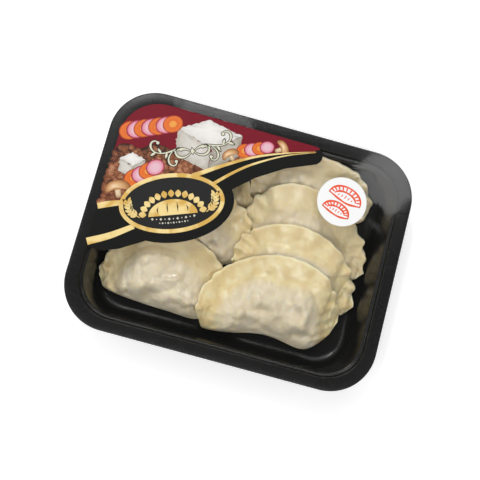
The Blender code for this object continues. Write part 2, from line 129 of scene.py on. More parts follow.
class Finish:
    """A material in the making. Every shader node comes from node()."""

    def __init__(self, name, **surface):
        self.material = bpy.data.materials.new(name)
        self.material.use_nodes = True
        self.tree = self.material.node_tree
        self.shader = self.tree.nodes["Principled BSDF"]
        self.place = self.node("ShaderNodeTexCoord", out="Object")
        self.set(**surface)

    def node(self, kind, settings=(), sockets=(), out=0):
        made = self.tree.nodes.new(kind)
        for name, value in dict(settings).items():
            if name == "stops":
                self.set_stops(made.color_ramp.elements, value)
            else:
                setattr(made, name, value)
        self.feed(made, sockets)
        return Value(self, made.outputs[out])

    def feed(self, made, sockets):
        for key, value in dict(sockets).items():
            if isinstance(value, Value):
                self.tree.links.new(value.socket, made.inputs[key])
            else:
                made.inputs[key].default_value = value

    @staticmethod
    def set_stops(elements, stops):
        while len(elements) < len(stops):
            elements.new(1.0)
        for element, (position, colour) in zip(elements, stops):
            element.position = position
            element.color = colour

    def noise(self, pitch, detail=3.0, rough=0.5, warp=0.0):
        """Cloudy noise round 0.5 whose patches are about pitch metres across."""
        sockets = {"Vector": self.place, "Scale": 1 / pitch, "Detail": detail,
                   "Roughness": rough, "Distortion": warp}
        return self.node("ShaderNodeTexNoise", sockets=sockets)

    def attribute(self, name):
        return self.node("ShaderNodeAttribute", {"attribute_name": name}, out="Fac")

    def mix(self, low, high, share):
        """A blend of two colours."""
        return self.node("ShaderNodeMix", {"data_type": "RGBA"}, {0: share, 6: low, 7: high}, out=2)

    def bump(self, height, depth, strength=1.0):
        sockets = {"Height": height, "Distance": depth, "Strength": strength}
        return self.node("ShaderNodeBump", sockets=sockets)

    def set(self, **surface):
        self.feed(self.shader, {key.replace("_", " "): value for key, value in surface.items()})
        return self.material


def add_mesh(name, vertices, faces, material, smooth_angle=None):
    """A mesh object at the origin. Vertices are rows of x, y, z."""
    mesh = bpy.data.meshes.new(name)
    mesh.from_pydata(np.asarray(vertices, dtype=float).tolist(), [], faces)
    work = bmesh.new()
    work.from_mesh(mesh)
    bmesh.ops.recalc_face_normals(work, faces=work.faces)
    work.to_mesh(mesh)
    work.free()
    mesh.materials.append(material)
    if smooth_angle is not None:
        mesh.shade_smooth()
        mesh.set_sharp_from_angle(angle=math.radians(smooth_angle))
    piece = bpy.data.objects.new(name, mesh)
    bpy.context.scene.collection.objects.link(piece)
    return piece


def tube_faces(rings, around):
    """Quads between closed rings of points, with a cap at each end."""
    faces = []
    for i in range(rings - 1):
        for j in range(around):
            k = (j + 1) % around
            low, high = i * around, (i + 1) * around
            faces.append((low + j, low + k, high + k, high + j))
    faces.append(tuple(reversed(range(around))))
    faces.append(tuple((rings - 1) * around + j for j in range(around)))
    return faces


def arc(centre, radii, turn, start, end, count):
    """Points of an ellipse's arc. Angles are in degrees, and turn tips the whole ellipse."""
    angle = np.radians(np.linspace(start, end, count))
    across, up = radii[0] * np.cos(angle), radii[1] * np.sin(angle)
    cos_turn, sin_turn = math.cos(math.radians(turn)), math.sin(math.radians(turn))
    return np.stack([centre[0] + across * cos_turn - up * sin_turn,
                     centre[1] + across * sin_turn + up * cos_turn], axis=1)


def rim_corner(inset, side_x, side_y, count):
    """One corner of the tray's outline moved inwards, anticlockwise."""
    radius = TRAY_CORNER - CORNER_TIGHTENING * inset
    centre = (side_x * (TRAY_LENGTH / 2 - inset - radius),
              side_y * (TRAY_WIDTH / 2 - inset - radius))
    start = {(1, 1): 0, (-1, 1): 90, (-1, -1): 180, (1, -1): 270}[side_x, side_y]
    return arc(centre, (radius, radius), 0, start, start + 90, count)


def at_height(outline, z):
    """Points in the plane, all at one height."""
    return np.column_stack([outline, np.full(len(outline), z)])


def tray_outline(inset, count):
    sides = [(1, 1), (-1, 1), (-1, -1), (1, -1)]
    return np.concatenate([rim_corner(inset, *side, count) for side in sides])


def rounded_profile(corners):
    """The profile with each corner turned into a short curve."""
    points = [tuple(corners[0][:2])]
    for before, (x, y, rounding), after in zip(corners, corners[1:], corners[2:]):
        here = np.array((x, y))
        tangents = []
        for other in (before, after):
            way = np.array(other[:2]) - here
            length = np.linalg.norm(way)
            tangents.append(here + way / length * min(rounding, MOST_ROUNDED * length))
        for u in np.linspace(0, 1, CORNER_STEPS):
            point = (1 - u) ** 2 * tangents[0] + 2 * u * (1 - u) * here + u ** 2 * tangents[1]
            points.append(tuple(point))
    points.append(tuple(corners[-1][:2]))
    return points


def black_plastic():
    """Glossy in the bowl, which lay on polished steel, and finely grained on the rim."""
    finish = Finish("black_plastic", Specular_IOR_Level=0.22)
    cloud = finish.noise(38 * MM, detail=2)
    grain = finish.noise(0.5 * MM, detail=2)
    scuffs = finish.noise(7 * MM, detail=5, rough=0.65, warp=1.2).between(0.55, 0.8)
    height = finish.node("ShaderNodeSeparateXYZ", sockets={0: finish.place}, out="Z")
    rim = height.between(RIM_TOP - 3 * MM, RIM_TOP - 1 * MM)
    colour = finish.mix((0.0060, 0.0063, 0.0060, 1), (0.0095, 0.0097, 0.0092, 1), cloud)
    relief = finish.bump(grain, 0.02 * MM, 0.12)
    return finish.set(Base_Color=colour, Normal=relief,
                      Roughness=0.17 + 0.05 * cloud + 0.06 * scuffs + 0.08 * rim)


rings = [at_height(tray_outline(inset, TRAY_CORNER_POINTS), height)
         for inset, height in rounded_profile(TRAY_PROFILE)]
tray = add_mesh("tray_shell", np.concatenate(rings),
                tube_faces(len(rings), 4 * TRAY_CORNER_POINTS), black_plastic(), smooth_angle=50)
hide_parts("tray")
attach(tray, "root")

# ---------------------------------------------------------------- the dumplings
# Each is a disc of wheat dough folded over a filling and pinched shut by hand along its edge,
# then boiled, so it is soft, moist and a little translucent. They lie overlapping in two
# columns, the back ones first, and each one droops over what is under it.

CRIMP_WIDTH = 14.0 * MM
CRIMP_PITCH = 10.0 * MM
CRIMP_ARC = 1.5  # length of the crimped edge, against the dumpling's
RIDGE_HALF = 2.4 * MM  # half the crimp's thickness between two finger marks
MARK_HALF = 1.45 * MM  # and in the middle of a mark
LIP_HALF = 3.2 * MM
EDGE_ROUND = 2.4 * MM
LIP_RANGE = (0.25, 2)  # how far an uneven lip may differ from its own width
MOST_LIP = 0.22  # shares of the way across
LEAST_BELLY = 0.15
SCALLOP = 1.2 * MM
MARK_MEAN = 0.6  # of a mark's depth along the crimp
LOBE_RATE = 1.4  # the ends' lobes, against their finger marks
LOBE_REACH = 0.35  # how far the lobes reach out, against how far they wave up and down
FILLED_SHARE = (0.42, 0.92)  # shares of the half length where the filling thins and ends
TIP_HEIGHT = 6.5 * MM
TIP_THICKNESS = 0.3
TIP_INSET = 0.09
FAN_SHARE = 0.55  # how far the lines from fold to crimp stay fanned out, and where they close
FAN_POWER = 6
LOBE_CENTRE = (0.42, 0.36)  # where an end's lobes point, in half lengths and in heights
HEEL_PLACE = 0.61  # where the fold bulges most, and how widely, in half lengths
HEEL_WIDTH = 0.3
RIGHT_BULGE = 0.25  # how much more the fold bulges towards its right end
UNDERSIDE = 0.3  # the belly's rise underneath, against that on top
FULL_POCKET = 26 * MM
DOME_LEAN = 0.82  # below 1 the belly is highest nearer the fold
DOME_POWER = 1.1
LUMPS = 0.08  # shares of the belly's rise
PUCKERS = 0.04
WAVE_RATE = 0.9  # of the dough's wave along the crimp, against the finger marks
WAVE_SHARE = 0.3  # shares of the ruffle
LOBE_SHARE = 0.5
WRINKLES = 0.07 * MM
SEAM_GROOVE = 0.5 * MM
GROOVE_WIDTH = 1.5 * MM
END_FOLD = 0.6 * MM
NOTCH = 2.2 * MM
NOTCH_WIDTH = 0.025  # in half lengths, as are the folds' width and the notches' places
FOLD_WIDTH = 0.015
NOTCH_PLACES = (-0.85, -0.62, 0.66, 0.86)
FOLD_CREASE = 0.9 * MM
BUMP_PITCH = 8.5 * MM
BUMP_HEIGHT = 1.6 * MM
BUMP_CURVE = 9.0 * MM  # mean radius of the bumps' round tops
BUMP_STRAY = 0.42  # how far a bump may be off its square's middle, against the pitch
CREASE_SOFTNESS = 0.45 * MM
UNEVEN_MARKS = 0.12  # how much a hand varies the marks, the height, the fold, lip and crimp
UNEVEN_HEIGHT = 0.03
UNEVEN_FOLD = 0.7 * MM
UNEVEN_LIP = 0.28
UNEVEN_CRIMP = 0.14

# name, middle of the fold (x, y), turn and tilt in degrees, length, height, belly's rise,
# width of the flat fold, bulge of the fold, the right end's further bulge, sideways lean,
# ruffle, stiffness, seed and how yellow the crimp is; from the bottom of the pile to its
# top, lengths in millimetres.
DUMPLINGS = [
    ("dumpling_back_right", 43.5, 40, 8, 40, 96, 49, 11.0, 2.0, 6, 2, -3, 3.0, 80, 11, 0.55),
    ("dumpling_back_left", -43, 9, 17, 5, 100, 53, 11.0, 2.0, 6, 2, 0, 1.4, 25, 12, 0.8),
    ("dumpling_third_right", 45.5, 4, -6, 17, 100, 50, 11.0, 2.0, 6, 2, -5, 3.6, 25, 13, 0.65),
    ("dumpling_middle_left", -40, -18, 19, 12, 110, 53, 11.0, 2.0, 9, 2, 0, 1.6, 25, 14, 0.8),
    ("dumpling_second_right", 45, -23, -5, 17, 98, 46, 11.0, 2.0, 6, 3, -8, 3.4, 25, 15, 0.85),
    ("dumpling_front_left", -45.5, -52, 3, 12, 99, 47, 12.0, 1.2, 9, 3, 0, 1.6, 25, 16, 0.8),
    ("dumpling_front_right", 35.5, -54, 12.5, 12, 107, 52, 12.0, 1.5, 6.5, 8, 0, 1.6, 25, 17, 0.95),
]

ALONG_POINTS = 300
TIP_CROWDING = 0.92  # how much closer the points lie towards the tips
TOP_POINTS = 84
UNDER_POINTS = 30
LAY_GRID = (73, 25)
SKIN_GRID = (361, 121)
PILE_STEP = 1.0 * MM
PILE_GAP = 0.35 * MM
REACH = 2.2 * MM
SETTLE_ROUNDS = 2
SOFTEN_ROUNDS = 60
GIVE = 0.3
FILM_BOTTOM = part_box("film")[0].z
HEADROOM = 0.5 * MM
CEILING_SOFTNESS = 4.0 * MM
THINNEST = 1.8 * MM
THICK = 10 * MM  # from this thickness on the filling gives way fully
EDGE_SHARE = 0.08
EDGE_HIGHLIGHT_WIDTH = 1.8 * MM  # width of the painted highlight along the crimp's edge
EDGE_PLACES = 160  # for finding what a point of an end faces


def inset_at(x, y):
    """How far inside the tray's outer outline each point lies, found by halving."""
    low = np.full(x.shape, -60 * MM)
    high = np.full(x.shape, TRAY_WIDTH / 2)
    for _ in range(20):
        inset = (low + high) / 2
        radius = np.maximum(TRAY_CORNER - CORNER_TIGHTENING * inset, 0.0)
        over_x = np.abs(x) - (TRAY_LENGTH / 2 - inset - radius)
        over_y = np.abs(y) - (TRAY_WIDTH / 2 - inset - radius)
        beyond = np.hypot(np.maximum(over_x, 0), np.maximum(over_y, 0))
        inside = beyond + np.minimum(np.maximum(over_x, over_y), 0) < radius
        low = np.where(inside, inset, low)
        high = np.where(inside, high, inset)
    return (low + high) / 2


def floor_height(x, y):
    """The height of the tray's floor up to the foot of its wall."""
    skin = sorted(p for p in rounded_profile(TRAY_PROFILE[:5]) if p[1] <= WALL_FOOT[1])
    return np.interp(inset_at(x, y), [p[0] for p in skin], [p[1] for p in skin])


def keep_off_wall(points):
    """Moves points that reach into the tray's wall straight inwards."""
    x, y, z = np.moveaxis(points, -1, 0)
    wall = np.interp(z, [WALL_FOOT[1], WALL_HEAD[1]], [WALL_FOOT[0], WALL_HEAD[0]])
    push = np.maximum(wall + PILE_GAP - inset_at(x, y), 0)
    inwards_x = inset_at(x + MM, y) - inset_at(x - MM, y)
    inwards_y = inset_at(x, y + MM) - inset_at(x, y - MM)
    length = np.maximum(np.hypot(inwards_x, inwards_y), 1e-9)
    return np.stack([x + push * inwards_x / length, y + push * inwards_y / length, z], axis=-1)


class Pile:
    """A height map of everything that lies in the tray so far."""

    def __init__(self):
        self.low = (-TRAY_LENGTH / 2, -TRAY_WIDTH / 2)
        self.count = (round(TRAY_LENGTH / PILE_STEP) + 1, round(TRAY_WIDTH / PILE_STEP) + 1)
        x = self.low[0] + PILE_STEP * np.arange(self.count[0])
        y = self.low[1] + PILE_STEP * np.arange(self.count[1])
        self.height = floor_height(*np.meshgrid(x, y, indexing="ij"))

    def cell(self, x, y):
        i = np.rint((x - self.low[0]) / PILE_STEP).astype(int)
        j = np.rint((y - self.low[1]) / PILE_STEP).astype(int)
        return np.clip(i, 0, self.count[0] - 1), np.clip(j, 0, self.count[1] - 1)

    def add(self, points):
        np.maximum.at(self.height, self.cell(points[..., 0], points[..., 1]), points[..., 2])

    def below(self, points):
        """The highest part of the pile within REACH of each point."""
        x, y = points[..., 0], points[..., 1]
        found = self.height[self.cell(x, y)]
        for radius in (REACH / 2, REACH):
            for turn in range(8):
                angle = turn * math.pi / 4
                near = self.cell(x + radius * math.cos(angle), y + radius * math.sin(angle))
                found = np.maximum(found, self.height[near])
        return found


class Ripple:
    """A smooth random relief of about unit height, along one or two parameters."""

    def __init__(self, rng, shortest, longest, waves=8):
        heading = rng.uniform(0, 2 * math.pi, waves)
        pitch = rng.uniform(shortest, longest, waves)
        self.rate = 2 * math.pi / pitch * np.array([np.cos(heading), np.sin(heading)])
        self.start = rng.uniform(0, 2 * math.pi, waves)

    def __call__(self, x, y=0.0):
        total = 0.0
        for rate_x, rate_y, start in zip(*self.rate, self.start):
            total = total + np.sin(rate_x * x + rate_y * y + start)
        return total * math.sqrt(2 / len(self.start))


def smooth_step(low, high, value):
    t = np.clip((value - low) / (high - low), 0, 1)
    return t * t * (3 - 2 * t)


def dome(q):
    """The belly's height from the lip to the crimp."""
    return np.sin(math.pi * np.clip(q, 0, 1) ** DOME_LEAN) ** DOME_POWER


def rounded(distance):
    """Share of the full thickness at a distance from a rounded edge."""
    inwards = np.clip(distance / EDGE_ROUND, 0, 1)
    return np.sqrt(1 - (1 - inwards) ** 2)


def between_grid(field, along, across):
    """Values of a field that is known on an even grid over (-1..1, 0..1)."""
    i = np.clip((along + 1) / 2 * (field.shape[0] - 1), 0, field.shape[0] - 1.001)
    j = np.clip(across * (field.shape[1] - 1), 0, field.shape[1] - 1.001)
    i0, j0 = i.astype(int), j.astype(int)
    fi, fj = i - i0, j - j0
    low = field[i0, j0] * (1 - fj) + field[i0, j0 + 1] * fj
    high = field[i0 + 1, j0] * (1 - fj) + field[i0 + 1, j0 + 1] * fj
    return low * (1 - fi) + high * fi


def even_grid(counts):
    return np.linspace(-1, 1, counts[0])[:, None], np.linspace(0, 1, counts[1])[None, :]


class Dumpling:
    """Its surface is given by along, from -1 at one tip to 1 at the other, and across, from 0
    at the fold to 1 at the crimped edge."""

    def __init__(self, name, x, y, turn, tilt, length, height, belly, lip, bow, heel,
                 lean, ruffle, stiffness, seed, yellow):
        self.name = name
        self.x, self.y = x * MM, y * MM
        self.turn, self.tilt = math.radians(turn), math.radians(tilt)
        self.length, self.height = length * MM, height * MM
        self.belly, self.lip, self.ruffle = belly * MM, lip * MM, ruffle * MM
        self.bow, self.heel, self.lean = bow * MM, heel * MM, lean * MM
        self.stiffness, self.yellow = stiffness, yellow
        self.marks = round(CRIMP_ARC * self.length / CRIMP_PITCH)
        rng = np.random.default_rng(seed)
        self.uneven_height = Ripple(rng, 0.8, 2.0)
        self.uneven_fold = Ripple(rng, 0.5, 1.5)
        self.uneven_crimp = Ripple(rng, 0.4, 1.2)
        self.uneven_marks = Ripple(rng, 0.5, 1.2)
        self.lumps = Ripple(rng, 10 * MM, 22 * MM)
        self.ruffle_start = rng.uniform(0, 2 * math.pi)
        self.uneven_lip = Ripple(rng, 0.2, 0.7)
        self.wrinkles = Ripple(rng, 2.5 * MM, 6 * MM, waves=14)
        self.end_folds = Ripple(rng, 6 * MM, 12 * MM)
        count = len(NOTCH_PLACES)
        self.notches = np.array(NOTCH_PLACES) + rng.uniform(-0.05, 0.05, count)
        self.notch_depths = rng.uniform(0.3, 1.0, count)
        self.place_bumps(rng)
        self.lift = None

    def place_bumps(self, rng):
        """Bits of filling that press on the dough, about one to each BUMP_PITCH square."""
        columns = np.arange(-self.length / 2, self.length / 2, BUMP_PITCH)
        rows = np.arange(-self.bow, self.height, BUMP_PITCH)
        centres = np.stack(np.meshgrid(columns, rows), axis=-1).reshape(-1, 2)
        stray = rng.uniform(-BUMP_STRAY, BUMP_STRAY, centres.shape)
        self.bump_centres = centres + stray * BUMP_PITCH
        self.bump_heights = rng.uniform(0, BUMP_HEIGHT, len(centres))
        self.bump_curves = rng.uniform(0.6, 1.5, len(centres)) * BUMP_CURVE

    def bumpy(self, x, y):
        """The relief of the bumps: round tops, with soft creases where two of them meet."""
        total = 0.0
        for (bump_x, bump_y), height, curve in zip(self.bump_centres, self.bump_heights,
                                                   self.bump_curves):
            top = height - ((x - bump_x) ** 2 + (y - bump_y) ** 2) / (2 * curve)
            total = total + np.exp(top / CREASE_SOFTNESS)
        return CREASE_SOFTNESS * np.log(total)

    def phase(self, along):
        """Turns by pi from one finger mark of the crimp to the next."""
        return math.pi * (self.marks * (along + 1) / 2 + UNEVEN_MARKS * self.uneven_marks(along))

    def lobes(self, along):
        """How the crimped edge waves at the two ends, from -1 to 1."""
        wave = np.sin(LOBE_RATE * self.phase(along) + self.ruffle_start)
        return wave * smooth_step(0.25, 0.75, np.abs(along))

    def notched(self, along, width):
        """How deep in a fold of the crimp's end a point is, from 0 to 1."""
        total = 0.0
        for place, depth in zip(self.notches, self.notch_depths):
            total = total + depth * np.exp(-np.abs(along - place) / width)
        return total

    def outline(self, along):
        """The fold and the crimped edge as local (x, y), and how deep in a mark we are."""
        sine, cosine = np.sin(along * math.pi / 2), np.cos(along * math.pi / 2)
        mark = np.abs(np.sin(self.phase(along)))
        scallop = SCALLOP * (0.35 + 0.5 * along ** 2) * (mark ** 0.8 - MARK_MEAN)
        scallop = scallop + LOBE_REACH * self.ruffle * self.lobes(along)
        top = (self.height - TIP_HEIGHT) * cosine ** 0.9
        top = top * (1 + UNEVEN_HEIGHT * self.uneven_height(along))
        reach = scallop - NOTCH * self.notched(along, NOTCH_WIDTH)
        crimp_x = (self.length / 2 + reach) * sine + self.lean * cosine
        crimp_y = TIP_HEIGHT + top + reach * cosine
        fanned = sine * (FAN_SHARE + (1 - FAN_SHARE) * np.abs(sine) ** FAN_POWER)
        fold_x = self.length / 2 * (1 - TIP_INSET) * fanned
        bulge = np.sqrt(1 - fanned ** 2) * (1 + RIGHT_BULGE * fanned)
        heel = np.exp(-((fanned - HEEL_PLACE) / HEEL_WIDTH) ** 2)
        fold_y = -self.bow * bulge - self.heel * heel + UNEVEN_FOLD * self.uneven_fold(along)
        return fold_x, fold_y, crimp_x, crimp_y, mark

    def facing(self, x, y):
        """The along of the crimped edge that a local point faces, seen from the centre of its
        end, and the point's share of the way from that centre to the edge."""
        centre_x, centre_y = LOBE_CENTRE[0] * self.length / 2, LOBE_CENTRE[1] * self.height
        places = np.linspace(0, 1, EDGE_PLACES)
        found, share = np.zeros_like(x), np.zeros_like(x)
        for end in (-1, 1):
            _, _, edge_x, edge_y, _ = self.outline(end * places)
            edge_x, own_x = end * edge_x - centre_x, end * x - centre_x
            edge_y, own_y = edge_y - centre_y, y - centre_y
            edge_angle = np.maximum.accumulate(np.arctan2(edge_x, edge_y))
            place = np.interp(np.arctan2(own_x, own_y), edge_angle, places)
            edge = np.interp(place, places, np.hypot(edge_x, edge_y))
            found = np.where(end * x > 0, end * place, found)
            share = np.where(end * x > 0, np.hypot(own_x, own_y) / edge, share)
        return found, share

    def zones(self, along, span):
        """The shares across at which the lip at the fold ends and the crimp begins."""
        lip = self.lip * np.clip(1 + UNEVEN_LIP * self.uneven_lip(along), *LIP_RANGE)
        lip_end = np.minimum(lip / span, MOST_LIP)
        crimp_width = CRIMP_WIDTH * (1 + UNEVEN_CRIMP * self.uneven_crimp(along))
        return lip_end, np.maximum(1 - crimp_width / span, lip_end + LEAST_BELLY)

    def pocket(self, x, depth):
        """How full the belly is, from 0 to 1: less near the tips and where it is narrow."""
        from_middle = np.abs(x) / (self.length / 2)
        return smooth_step(0, FULL_POCKET, depth) * (1 - smooth_step(*FILLED_SHARE, from_middle))

    def masks(self, along, across):
        """How crimped and how filled the dough is at a point, and how near its edge, where the
        crimp gets a painted highlight, each from 0 to 1."""
        fold_x, fold_y, crimp_x, crimp_y, _ = self.outline(along)
        span = np.hypot(crimp_x - fold_x, crimp_y - fold_y)
        lip_end, seam = self.zones(along, span)
        q = np.clip((across - lip_end) / (seam - lip_end), 0, 1)
        x = fold_x + across * (crimp_x - fold_x)
        pocket = self.pocket(x, (seam - lip_end) * span)
        filled = np.sin(math.pi * q) * pocket
        crimped = 1 - smooth_step(0.0, 0.85, np.where(q < 0.5, pocket, filled))
        # rim is 1 at the crimp's outer edge, where the dough gets a painted highlight.
        rim = 1 - np.minimum((1 - across) * span / EDGE_HIGHLIGHT_WIDTH, 1)
        return crimped * self.yellow, filled, rim

    def local(self, along, across, side):
        """Local points. x runs from tip to tip, y from the fold to the crimp, and z up
        through the belly. side is 1 on top and -1 underneath."""
        fold_x, fold_y, crimp_x, crimp_y, mark = self.outline(along)
        span = np.hypot(crimp_x - fold_x, crimp_y - fold_y)
        lip_end, seam = self.zones(along, span)
        x = fold_x + across * (crimp_x - fold_x)
        y = fold_y + across * (crimp_y - fold_y)

        # Flat dough: the lip at the fold and the crimp, both with rounded edges.
        crimped = smooth_step(seam - 0.04, seam + 0.08, across)
        marked = mark * (0.35 + 0.65 * along ** 2)
        half = LIP_HALF + crimped * (RIDGE_HALF + (MARK_HALF - RIDGE_HALF) * marked - LIP_HALF)
        to_tip = self.length / 2 * (1 - np.abs(np.sin(along * math.pi / 2)))
        half = half * rounded(np.minimum(across, 1 - across) * span)
        half = half * np.maximum(rounded(to_tip), TIP_THICKNESS)

        # The belly over the filling. Bumps push it outwards, and puckers start at the marks.
        q = np.clip((across - lip_end) / (seam - lip_end), 0, 1)
        pocket = self.pocket(x, (seam - lip_end) * span)
        puckers = PUCKERS * (mark - MARK_MEAN) * smooth_step(0.4, 0.9, q)
        relief = 1 + LUMPS * self.lumps(x, y) + puckers
        rise = self.belly * pocket * dome(q) * relief
        slope = self.belly * pocket * (dome(q + 0.02) - dome(q - 0.02)) / (0.04 * seam * span)
        bump = (self.bumpy(x, y) - 0.5 * BUMP_HEIGHT) * pocket * smooth_step(0.1, 0.9, pocket)
        bump = bump * smooth_step(0, 0.14, q) * smooth_step(1, 0.7, q)
        bump = np.where(side > 0, bump, 0.0)
        steep = np.sqrt(1 + slope ** 2)
        y = y - bump * slope / steep
        rise = rise + bump / steep

        # The flat dough waves up and down, a little along the crimp and much near the tips.
        beyond = np.clip((across - seam) / (1 - seam), 0, 1)
        wave = np.sin(self.phase(along) * WAVE_RATE + self.ruffle_start)
        place, share = self.facing(x, y)
        outer = smooth_step(0.35, 1, share) * smooth_step(0.02, 0.4, across) * (1 - pocket)
        ruffle = WAVE_SHARE * wave * beyond + LOBE_SHARE * self.lobes(place) * outer
        ruffle = self.ruffle * ruffle
        skin = WRINKLES * self.wrinkles(x, y) * rounded(np.minimum(across, 1 - across) * span)
        ends = smooth_step(0.55, 0.8, np.abs(along)) * smooth_step(0, 0.15, across)
        skin = skin + END_FOLD * self.end_folds(x, y) * ends * smooth_step(1, 0.85, across)
        skin = skin - FOLD_CREASE * self.notched(place, FOLD_WIDTH) * smooth_step(0.5, 0.95, across)
        skin = skin - SEAM_GROOVE * pocket * np.exp(-((across - seam) * span / GROOVE_WIDTH) ** 2)
        z = ruffle + np.where(side > 0, half + rise + skin, -half - UNDERSIDE * rise)
        return np.stack([x, y, z + np.zeros_like(x)], axis=-1)

    def placed(self, along, across, side):
        """Points in the tray before the dumpling settles, with the fold's middle as hinge."""
        x, y, z = np.moveaxis(self.local(along, across, side), -1, 0)
        back = y * math.cos(self.tilt) - z * math.sin(self.tilt)
        up = y * math.sin(self.tilt) + z * math.cos(self.tilt)
        return np.stack([x * math.cos(self.turn) - back * math.sin(self.turn) + self.x,
                         x * math.sin(self.turn) + back * math.cos(self.turn) + self.y,
                         up], axis=-1)

    def settle(self, pile):
        """Finds the lift of each part that lays the dumpling on the pile, softly."""
        along, across = even_grid(LAY_GRID)
        under = self.placed(along, across, -1)
        lift = np.zeros(under.shape[:-1])
        for _ in range(SETTLE_ROUNDS):
            lifted = under + lift[..., None] * (0, 0, 1)
            needed = pile.below(keep_off_wall(lifted)) + PILE_GAP - under[..., 2]
            lift = np.maximum(needed, np.percentile(needed, self.stiffness))
            for _ in range(SOFTEN_ROUNDS):
                edge = np.pad(lift, 1, mode="edge")
                beside = edge[:-2, 1:-1] + edge[2:, 1:-1] + edge[1:-1, :-2] + edge[1:-1, 2:]
                lift = np.maximum(beside / 4, needed)
        self.lift = lift
        pile.add(self.surface(*even_grid(SKIN_GRID), 1))

    def surface(self, along, across, side):
        """Points of the settled dumpling. The top keeps under the film, the underside keeps
        under the top, and both keep off the tray's wall."""
        along, across = np.broadcast_arrays(along, across)
        lift = between_grid(self.lift, along, across)
        top = self.placed(along, across, 1)
        under = self.placed(along, across, -1)
        filled = np.clip((top[..., 2] - under[..., 2]) / THICK, 0, 1)
        top[..., 2] += lift - GIVE * filled * (lift - self.lift.min())
        soft_from = FILM_BOTTOM - HEADROOM - CEILING_SOFTNESS
        over = np.maximum(top[..., 2] - soft_from, 0) / CEILING_SOFTNESS
        top[..., 2] = np.minimum(top[..., 2], soft_from) + CEILING_SOFTNESS * np.tanh(over)
        from_edge = np.minimum(across, 1 - across) / EDGE_SHARE
        thickness = THINNEST * np.sqrt(np.clip(from_edge, 0, 1))
        under[..., 2] = np.minimum(under[..., 2] + lift, top[..., 2] - thickness)
        return keep_off_wall(top if side > 0 else under)


def boiled_dough():
    """Cream dough, yellower where it is pinched and greyer where filling lies close under it. Its
    outer edge has a painted highlight. It is moist in patches, so its highlights are small."""
    finish = Finish("boiled_dough")
    crimped = finish.attribute("crimped")
    filled = finish.attribute("filled")
    rim = finish.attribute("rim")
    patches = finish.noise(14 * MM, detail=3)
    blotches = finish.noise(9 * MM, detail=1)
    fine = finish.noise(1.6 * MM, detail=4, rough=0.6)
    wet = finish.noise(9 * MM, detail=3, warp=0.5).between(0.46, 0.66)
    plain = finish.mix((0.70, 0.613, 0.44, 1), (0.77, 0.693, 0.52, 1), patches.between(0.3, 0.7))
    pinched = finish.mix((0.70, 0.56, 0.29, 1), (0.80, 0.70, 0.43, 1), blotches.between(0.3, 0.7))
    edge = (crimped + 0.4 * (blotches - 0.5)).between(0.1, 1.0)
    colour = finish.mix(plain, pinched, edge)
    meat = (filled * blotches.between(0.48, 0.7) * 0.25).clamped()
    colour = finish.mix(colour, (0.57, 0.495, 0.37, 1), meat)
    # A painted highlight along the crimp's outer edge.
    colour = finish.mix(colour, (0.86, 0.80, 0.60, 1), 0.6 * rim)
    relief = finish.bump(fine, 0.12 * MM, 0.4)
    return finish.set(Base_Color=colour, Roughness=0.55 - 0.22 * wet, Normal=relief,
                      Subsurface_Weight=1.0, Subsurface_Radius=(1.0, 0.82, 0.50),
                      Subsurface_Scale=1.9 * MM, Specular_IOR_Level=0.4,
                      Coat_Weight=0.6 * wet, Coat_Roughness=0.08)


def store(piece, name, values):
    """Keeps one number for each point, for the material to read."""
    layer = piece.data.attributes.new(name, "FLOAT", "POINT")
    layer.data.foreach_set("value", values)


def add_dumpling(spec, pile, material):
    """Lays the dumpling on the pile and adds its skin, with closer points at its edges."""
    dumpling = Dumpling(*spec)
    dumpling.settle(pile)
    turns = np.linspace(-1, 1, ALONG_POINTS) * math.pi / 2 * TIP_CROWDING
    along = np.sin(turns) / math.sin(math.pi / 2 * TIP_CROWDING)
    top_share = (1 - np.cos(np.linspace(0, 1, TOP_POINTS) * math.pi)) / 2
    top_share = 0.5 * top_share + 0.5 * np.linspace(0, 1, TOP_POINTS)
    under_share = np.linspace(1, 0, UNDER_POINTS)[1:-1]
    grid = along[:, None]
    parts, masks = [], []
    for side, share in ((1, top_share), (-1, under_share)):
        across = share[None, :]
        parts.append(dumpling.surface(grid, across, side))
        masks.append(np.stack(np.broadcast_arrays(*dumpling.masks(grid, across)), axis=-1))
    skin = np.concatenate(parts, axis=1)
    masks = np.concatenate(masks, axis=1)
    around = skin.shape[1]
    piece = add_mesh(dumpling.name + "_dough", skin.reshape(-1, 3),
                     tube_faces(ALONG_POINTS, around), material, smooth_angle=180)
    # rim carries the painted highlight along the crimp's outer edge.
    for layer, name in enumerate(("crimped", "filled", "rim")):
        store(piece, name, masks[..., layer].ravel())
    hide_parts(dumpling.name)
    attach(piece, "root")


dough = boiled_dough()
pile = Pile()
for spec in DUMPLINGS:
    add_dumpling(spec, pile, dough)

# ---------------------------------------------------------------- the film
# Clear plastic film, stretched tight over the tray and heat-sealed to its rim. Only its gloss
# shows.

FILM_INSET = 0.8 * MM
FILM_THICKNESS = 0.06 * MM


def clear_film():
    """Lets everything through but what the film's outer face mirrors."""
    finish = Finish("clear_film", Base_Color=(1, 1, 1, 1), Metallic=1.0, Roughness=0.06)
    ripple = finish.noise(45 * MM, detail=2, warp=0.4)
    finish.set(Normal=finish.bump(ripple, 1.2 * MM, 0.35))
    inside = finish.node("ShaderNodeNewGeometry", out="Backfacing")
    gloss = finish.node("ShaderNodeFresnel", sockets={"IOR": 1.36}) * (1.0 - inside)
    clear = finish.node("ShaderNodeBsdfTransparent")
    shine = Value(finish, finish.shader.outputs[0])
    film = finish.node("ShaderNodeMixShader", sockets={0: gloss, 1: clear, 2: shine})
    output = next(n for n in finish.tree.nodes if n.type == "OUTPUT_MATERIAL")
    finish.feed(output, {"Surface": film})
    return finish.material


def prism(outline, low, high):
    """The two rings of a flat piece between two heights."""
    return np.stack([at_height(outline, low), at_height(outline, high)])


